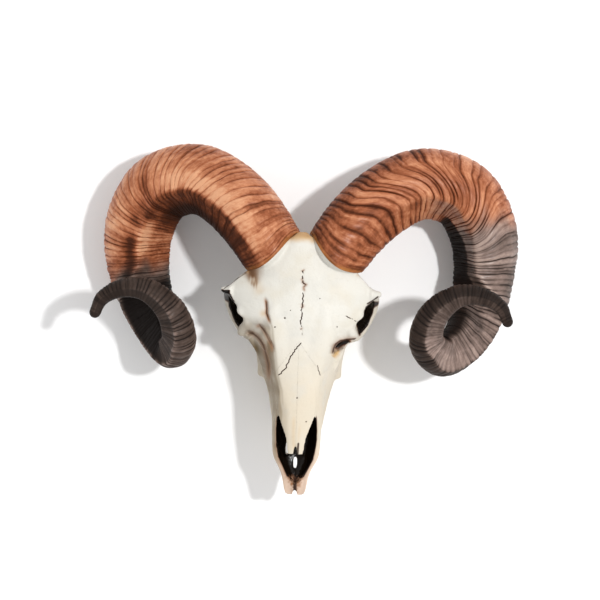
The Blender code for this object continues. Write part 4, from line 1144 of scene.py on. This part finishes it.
def horn_tone_and_shade(side, rests, offs, flat, seed):
    """How light the horn is by place, 0 near black to 1 palest, and where it is pink-grey instead of copper:
    the inner face is dark over the arch, partly the horn's own dark paint and partly painted shade, with
    painted highlights along the keel and painted shade where the horn turns from the lamp; the arm and the
    curl have pale, dark and smudged zones. Each zone pulls the tone towards its value by a share made of
    steps and bells in distance and angle."""
    inner = step(2, 8, offs) * np.maximum(step(165, 140, offs), step(215, 235, rests))
    drift = 6 * cloud(flat, 12, seed + 8)
    tone = 0.62 + 0.12 * cloud(flat, 26, seed + 13)

    def zone(value, share):
        nonlocal tone
        tone = tone + (value - tone) * share
    if side < 0:
        # painted highlight: the rounded keel catching the lamp, beside the dark inner face
        zone(1.0, bell(offs, -21, 14) * between(rests, 6, 30, 110, 150))
        # painted shade where the arch turns from the lamp
        zone(0.4, step(-34, -8, offs) * step(120, 150, rests) * step(198, 176, rests))
        # inner face of the arch: the horn's own dark brown with painted shade, black by the inner edge
        zone(0.25 - 0.23 * step(14, 46, offs), between(offs, -10, -2, 140, 165)
             * step(-6, 12, rests) * step(196, 150, rests + drift))
        # painted highlight along the keel of the arm
        zone(0.95, bell(offs, 8, 14) * between(rests, 168, 184, 200, 222))
        zone(0.85, bell(offs, -56, 20) * between(rests, 168, 188, 206, 222))
        zone(0.1, np.exp(-((offs + 15 + drift) / 12) ** 2) * step(176, 200, rests + 2 * drift))
        zone(0.55, inner * between(rests, 212, 226, 240, 252))
        zone(0.0, inner * between(rests, 240, 252, 318, 345))
        zone(0.45, between(offs, -90, -60, -4, 4) * step(244, 256, rests))
        zone(0.3, inner * step(318, 345, rests))
        grey = step(-13, 13, rests - 226 - 1.5 * drift - 12 * step(-20, -60, offs))
    else:
        zone(0.55, step(90, 40, rests))
        # painted shade along the outer edge near the base, turned from the lamp
        zone(0.36, step(-48, -84, offs) * step(120, 70, rests))
        edge = np.interp(rests, (120, 150, 200), (50, 42, 24))
        bevel = between(offs, -2, 3, edge - 2, edge + 4) * between(rests, 84, 106, 195, 218)
        zone(0.68, bevel)
        # inner face beyond the bevel: the horn's own black with painted shade
        zone(0.0, inner * step(edge - 2, edge + 5, offs + 0.3 * drift) * between(rests, 128, 150, 240, 262))
        zone(0.78, step(-100, 0, offs) * step(2, -4, offs) * between(rests, 170, 186, 240, 262))
        zone(0.7, inner * step(236, 262, rests))
        zone(0.82, inner * step(284, 300, rests) * step(60, 40, offs) * step(400, 340, rests))
        zone(0.22, between(offs, -100, -40, -4, 2) * step(250, 270, rests))
        # painted shade deep in the curl, under the tip
        zone(0.05, inner * step(88, 112, offs) * step(255, 285, rests) * step(420, 390, rests))
        across = rests - 181 - 1.5 * drift + 8 * step(-70, -20, offs) - 6 * step(-40, -90, offs)
        grey = np.maximum(step(-13, 13, across), 0.4 * bevel * step(100, 130, rests))
    tips = step(350, 440, rests)
    return tone * (1 - 0.55 * tips), grey


def sheath(side, seed):
    """One horn sheath on a grid of growth lines and angles from the keel. The lines sweep towards the tip as
    they near the keel; pillow-shaped ridges, sharp grooves and fine lines are added along the normal. Returns
    the body, its marks and its unrolled coordinates."""
    axis, width, along, inside, up = horn_frame(side)
    travel = np.concatenate(([0], np.cumsum(np.linalg.norm(np.diff(axis, axis=0), axis=1))))
    length = travel[-1]
    count, sides = SHEATH
    rest = np.linspace(0, length, count)[:, None]
    off = np.linspace(-180, 180, sides, endpoint=False)[None]
    sweep, (turns_from, turns_to), depth, wide = LINES[side]
    swept = step(turns_from, turns_to, off) * step(180, 110, off)
    place = np.clip(rest + sweep * swept * step(0, 60, rest) * step(235, 120, rest), 0, length)

    def at(values):
        return np.stack([np.interp(place, travel, column) for column in values.T], -1)
    middle, inward, upward = at(axis), at(inside), at(up)
    half = np.interp(place, travel, width)
    share = by(RIM, rest)
    reach, rad = horn_section(place, off)
    spoke = np.cos(rad)[..., None] * upward + np.sin(rad)[..., None] * inward
    rings = middle + (half * reach * share)[..., None] * spoke
    rings -= (bulge(side, rad) * share * step(26, 0, rest))[..., None] * along[0]

    flat = np.stack((rest + 0 * rad, half * np.cos(rad), half * np.sin(rad)), -1).reshape(-1, 3)
    rests, offs, places = flat[:, 0], (off + 0 * rad).ravel(), place.ravel()
    warp = (1.5 * cloud(flat, 21, seed) + 0.7 * cloud(flat, 8, seed + 1)) * by(WAVER, rests)
    spot = rests + warp
    groove, hollow, pillow, number = growth_lines(spot, flat, seed, 1.0, wide)
    finer_spot = spot + 0.6 * cloud(flat, 10, seed + 9)
    minor, _, small_pillow, _ = growth_lines(finer_spot, flat, seed + 20, 0.42, 0.36)
    thin = cloud(np.stack((spot / 0.8, flat[:, 1] / 9, flat[:, 2] / 9), 1), 1, seed + 3)
    lump = cloud(np.stack((spot / 5, flat[:, 1] / 7, flat[:, 2] / 7), 1), 1, seed + 5)
    smooth_band = step(270, 325, places) * step(-3, 10, offs) * step(150, 110, offs)
    force = (1 - 0.8 * smooth_band) * by(FORCE, rests)
    depths = np.interp(places, (0, 170, 230), (depth, depth, 0.6))
    ribs = depths * (0.17 * np.minimum(pillow, 6) - 0.8 * groove - 0.15 * minor)
    height = force * (ribs + 0.05 * small_pillow - 0.3 * depths * hollow + 0.05 * thin + 0.25 * lump) - SUNK
    height += 0.8 * (side > 0) * step(70, 95, offs) * step(255, 275, rests) * step(420, 400, rests)
    tip = 0.3 + 0.7 * step(length, length - 6, rests)
    height = np.minimum(height, -LEAST_SUNK) * step(0, 3, rests) * tip
    du = np.gradient(rings, axis=0)
    dv = np.roll(rings, -1, 1) - np.roll(rings, 1, 1)
    normal = unit(np.cross(du, dv))
    outward = np.sign((normal * spoke).sum(-1, keepdims=True))
    rings = rings + height.reshape(count, sides)[..., None] * normal * outward

    turn = np.radians(TIP_TURNS)[1:, None, None]
    end = rings[-1:] - axis[-1]
    cap = axis[-1] + 0.97 * width[-1] * np.sin(turn) * along[-1] + np.cos(turn) * end
    base = mouth_rings(side, 0, MOUTH_SHARES, sides)
    rings = shifted(leaned(np.concatenate((base, rings, cap)) * (side, 1, 1)))

    tone, grey = horn_tone_and_shade(side, places, offs, flat, seed)
    collar = np.random.default_rng(seed + 60).uniform(-1, 1, number.max() + 1)[number]
    crest = np.clip(pillow / 5, 0, 1)
    line = np.clip(groove * (0.7 + 0.3 * np.maximum(places > 170, (side > 0) * step(130, 70, places)))
                   + 0.35 * minor, 0, 1)
    # painted shade in the wider hollow round each groove, stronger at the base of the left horn
    shade = 0.1 + 0.16 * (side > 0) * step(200, 120, places)
    detail = 0.16 * (crest - 0.5) + 0.09 * collar - shade * hollow
    # painted highlights: small glints on the ribs beside the keel
    painted_glint = bell(offs, -3, 8) * step(178, 205, places) * crest
    marks = {
        "groove": line * (1 - 0.6 * smooth_band),
        "light": tone + detail * step(0, 0.35, tone) + 0.35 * painted_glint * step(430, 400, places),
        "grey": grey,
        "mouth": step(4.2, 0.2, rests + 1.5 * warp) * np.clip(0.75 + 0.5 * cloud(flat, 9, seed + 10), 0, 1),
    }
    lead, tail = len(MOUTH_SHARES) * sides, (len(TIP_TURNS) - 1) * sides + 2
    marks = {key: np.concatenate((np.full(lead, values[0]), values, np.full(tail, values[-1])))
             for key, values in marks.items()}
    length_wise = np.concatenate((np.zeros((lead, 3)), np.stack((spot, flat[:, 1], flat[:, 2]), 1),
                                  np.tile((length, 0, 0), (tail, 1))))
    return skin(rings), marks, length_wise


def horn_paint():
    """Horn: copper brown or pink-grey by the grey mark, each from near black to pale by the light mark, which
    also carries painted shade and painted highlights, with mottling and streaks along the growth lines,
    dark lines in the grooves, orange at the mouth."""
    paint = Paint("copper and black horn")
    run = paint.node("ShaderNodeAttribute", {"attribute_name": "unrolled"}, output="Vector")

    def stretched(along, across, detail):
        return paint.noise(paint.stretch(run, along, across, across), 1.0, detail, 0.6)
    streak, broad, fleck = (stretched(*sizes) for sizes in
                            ((1500.0, 110.0, 4.0), (80.0, 60.0, 4.0), (420.0, 260.0, 3.0)))
    groove, light, grey, mouth = (paint.mark(name) for name in ("groove", "light", "grey", "mouth"))
    clear = paint.band(light, 0.0, 0.35) * (1 - 0.35 * grey)
    light = light + clear * ((broad - 0.5) * 0.75 + (fleck - 0.5) * 0.5 + (streak - 0.5) * 0.4)
    copper, dull = (paint.node("ShaderNodeValToRGB", {"stops": stops}, {0: light})
                    for stops in (COPPER, GREY))
    copper = paint.mix(mouth * 0.7, copper, (0.37, 0.155, 0.037))
    copper = paint.mix(paint.band(groove, 0.2, 0.95) * 0.7, copper, (0.045, 0.009, 0.002))
    dull = paint.mix(paint.band(groove, 0.15, 0.85) * 0.8, dull, (0.009, 0.006, 0.005))
    rough = paint.band(streak, 0.3, 0.7, 0.4, 0.6) + groove * 0.2
    return paint.shader(Base_Color=paint.mix(grey, copper, dull), Roughness=rough, Specular_IOR_Level=0.08,
                        Coat_Weight=paint.band(light, 0.3, 0.9) * 0.45 * (1 - groove), Coat_Roughness=0.32,
                        Normal=paint.bump(streak + fleck, 0.0003, 0.8))


horn = horn_paint()
for side, word, seed in ((1, "left", 41), (-1, "right", 67)):
    body, marks, unrolled = sheath(side, seed)
    piece = solid("sheath_" + word, body)
    for name, values in marks.items():
        give(piece.data, name, values)
    store = piece.data.attributes.new("unrolled", "FLOAT_VECTOR", "POINT")
    store.data.foreach_set("vector", (unrolled * MM).astype(np.float32).ravel())
    piece.data.materials.append(horn)
    piece.data.shade_smooth()
    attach(piece, "root")
    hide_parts("horn_" + word)

# ------------------------------------------------------------------------------------ floor, light, camera
# A plain white floor under the skull, a white surround that is brighter to the sides than overhead, and one
# soft lamp from the right and above; the camera looks almost straight down at the forehead.
FLOOR_REACH, FLOOR_LINES = 3000, 13
# the surround: how far up it starts to darken and where it is darkest, and its strength at both
SURROUND = (0.55, 0.9, 1.08, 0.58)
LAMP_TOWARDS, LAMP_AWAY, LAMP_SIZE, LAMP_POWER = (0.47, 0.13, 1.0), 2.4, 0.13, 37
CAMERA_TARGET, CAMERA_AWAY = (-6.0, 17.4, 90.0), 1.6
CAMERA_YAW, CAMERA_ROLL = 1.5, 1.3
FILM, SHOWN_MM = 36, 540

u = np.linspace(-FLOOR_REACH, FLOOR_REACH, FLOOR_LINES)
sheet = np.stack((*np.meshgrid(u, u, indexing="ij"), np.zeros((FLOOR_LINES, FLOOR_LINES))), -1)
cell = (np.arange(FLOOR_LINES - 1)[:, None] * FLOOR_LINES + np.arange(FLOOR_LINES - 1)).ravel()
cells = np.stack((cell, cell + FLOOR_LINES, cell + FLOOR_LINES + 1, cell + 1), 1)
floor = solid("floor", (sheet.reshape(-1, 3), cells, np.zeros((0, 3), int)))
floor.data.materials.append(Paint("white floor").shader(Base_Color=(0.92, 0.92, 0.92), Roughness=0.9,
                                                        Specular_IOR_Level=0.0))

world = bpy.data.worlds.new("studio")
world.use_nodes = True
tree = world.node_tree
tree.nodes["Background"].inputs["Color"].default_value = (1, 1, 1, 1)
facing = tree.nodes.new("ShaderNodeTexCoord")
split = tree.nodes.new("ShaderNodeSeparateXYZ")
tree.links.new(facing.outputs["Generated"], split.inputs[0])
overhead = tree.nodes.new("ShaderNodeMapRange")
overhead.interpolation_type = "SMOOTHSTEP"
for socket, value in zip(overhead.inputs[1:5], SURROUND):
    socket.default_value = value
tree.links.new(split.outputs[2], overhead.inputs[0])
tree.links.new(overhead.outputs[0], tree.nodes["Background"].inputs["Strength"])
bpy.context.scene.world = world

lamp_data = bpy.data.lights.new("lamp", "AREA")
lamp_data.size, lamp_data.energy = LAMP_SIZE, LAMP_POWER
lamp = added("lamp", lamp_data)
toward = unit(np.array(LAMP_TOWARDS))
lamp.location = toward * LAMP_AWAY
lamp.rotation_mode = "QUATERNION"
lamp.rotation_quaternion = Vector(toward).to_track_quat("Z", "Y")

target = np.array(CAMERA_TARGET) * MM
yaw, roll = math.radians(CAMERA_YAW), math.radians(CAMERA_ROLL)
back = np.array((math.sin(yaw), 0, math.cos(yaw)))
level, head = np.array((math.cos(yaw), 0, -math.sin(yaw))), np.array((0, 1.0, 0))
right = level * math.cos(roll) + head * math.sin(roll)
top = head * math.cos(roll) - level * math.sin(roll)
camera_data = bpy.data.cameras.new("camera")
camera_data.sensor_width, camera_data.clip_start = FILM, 0.05
camera_data.lens = FILM * CAMERA_AWAY / MM / SHOWN_MM
camera = added("camera", camera_data)
columns = np.column_stack((right, top, back, target + back * CAMERA_AWAY))
camera.matrix_world = Matrix([[*row] for row in columns] + [[0, 0, 0, 1]])
bpy.context.scene.camera = camera
bpy.context.scene.view_settings.view_transform = "Standard"
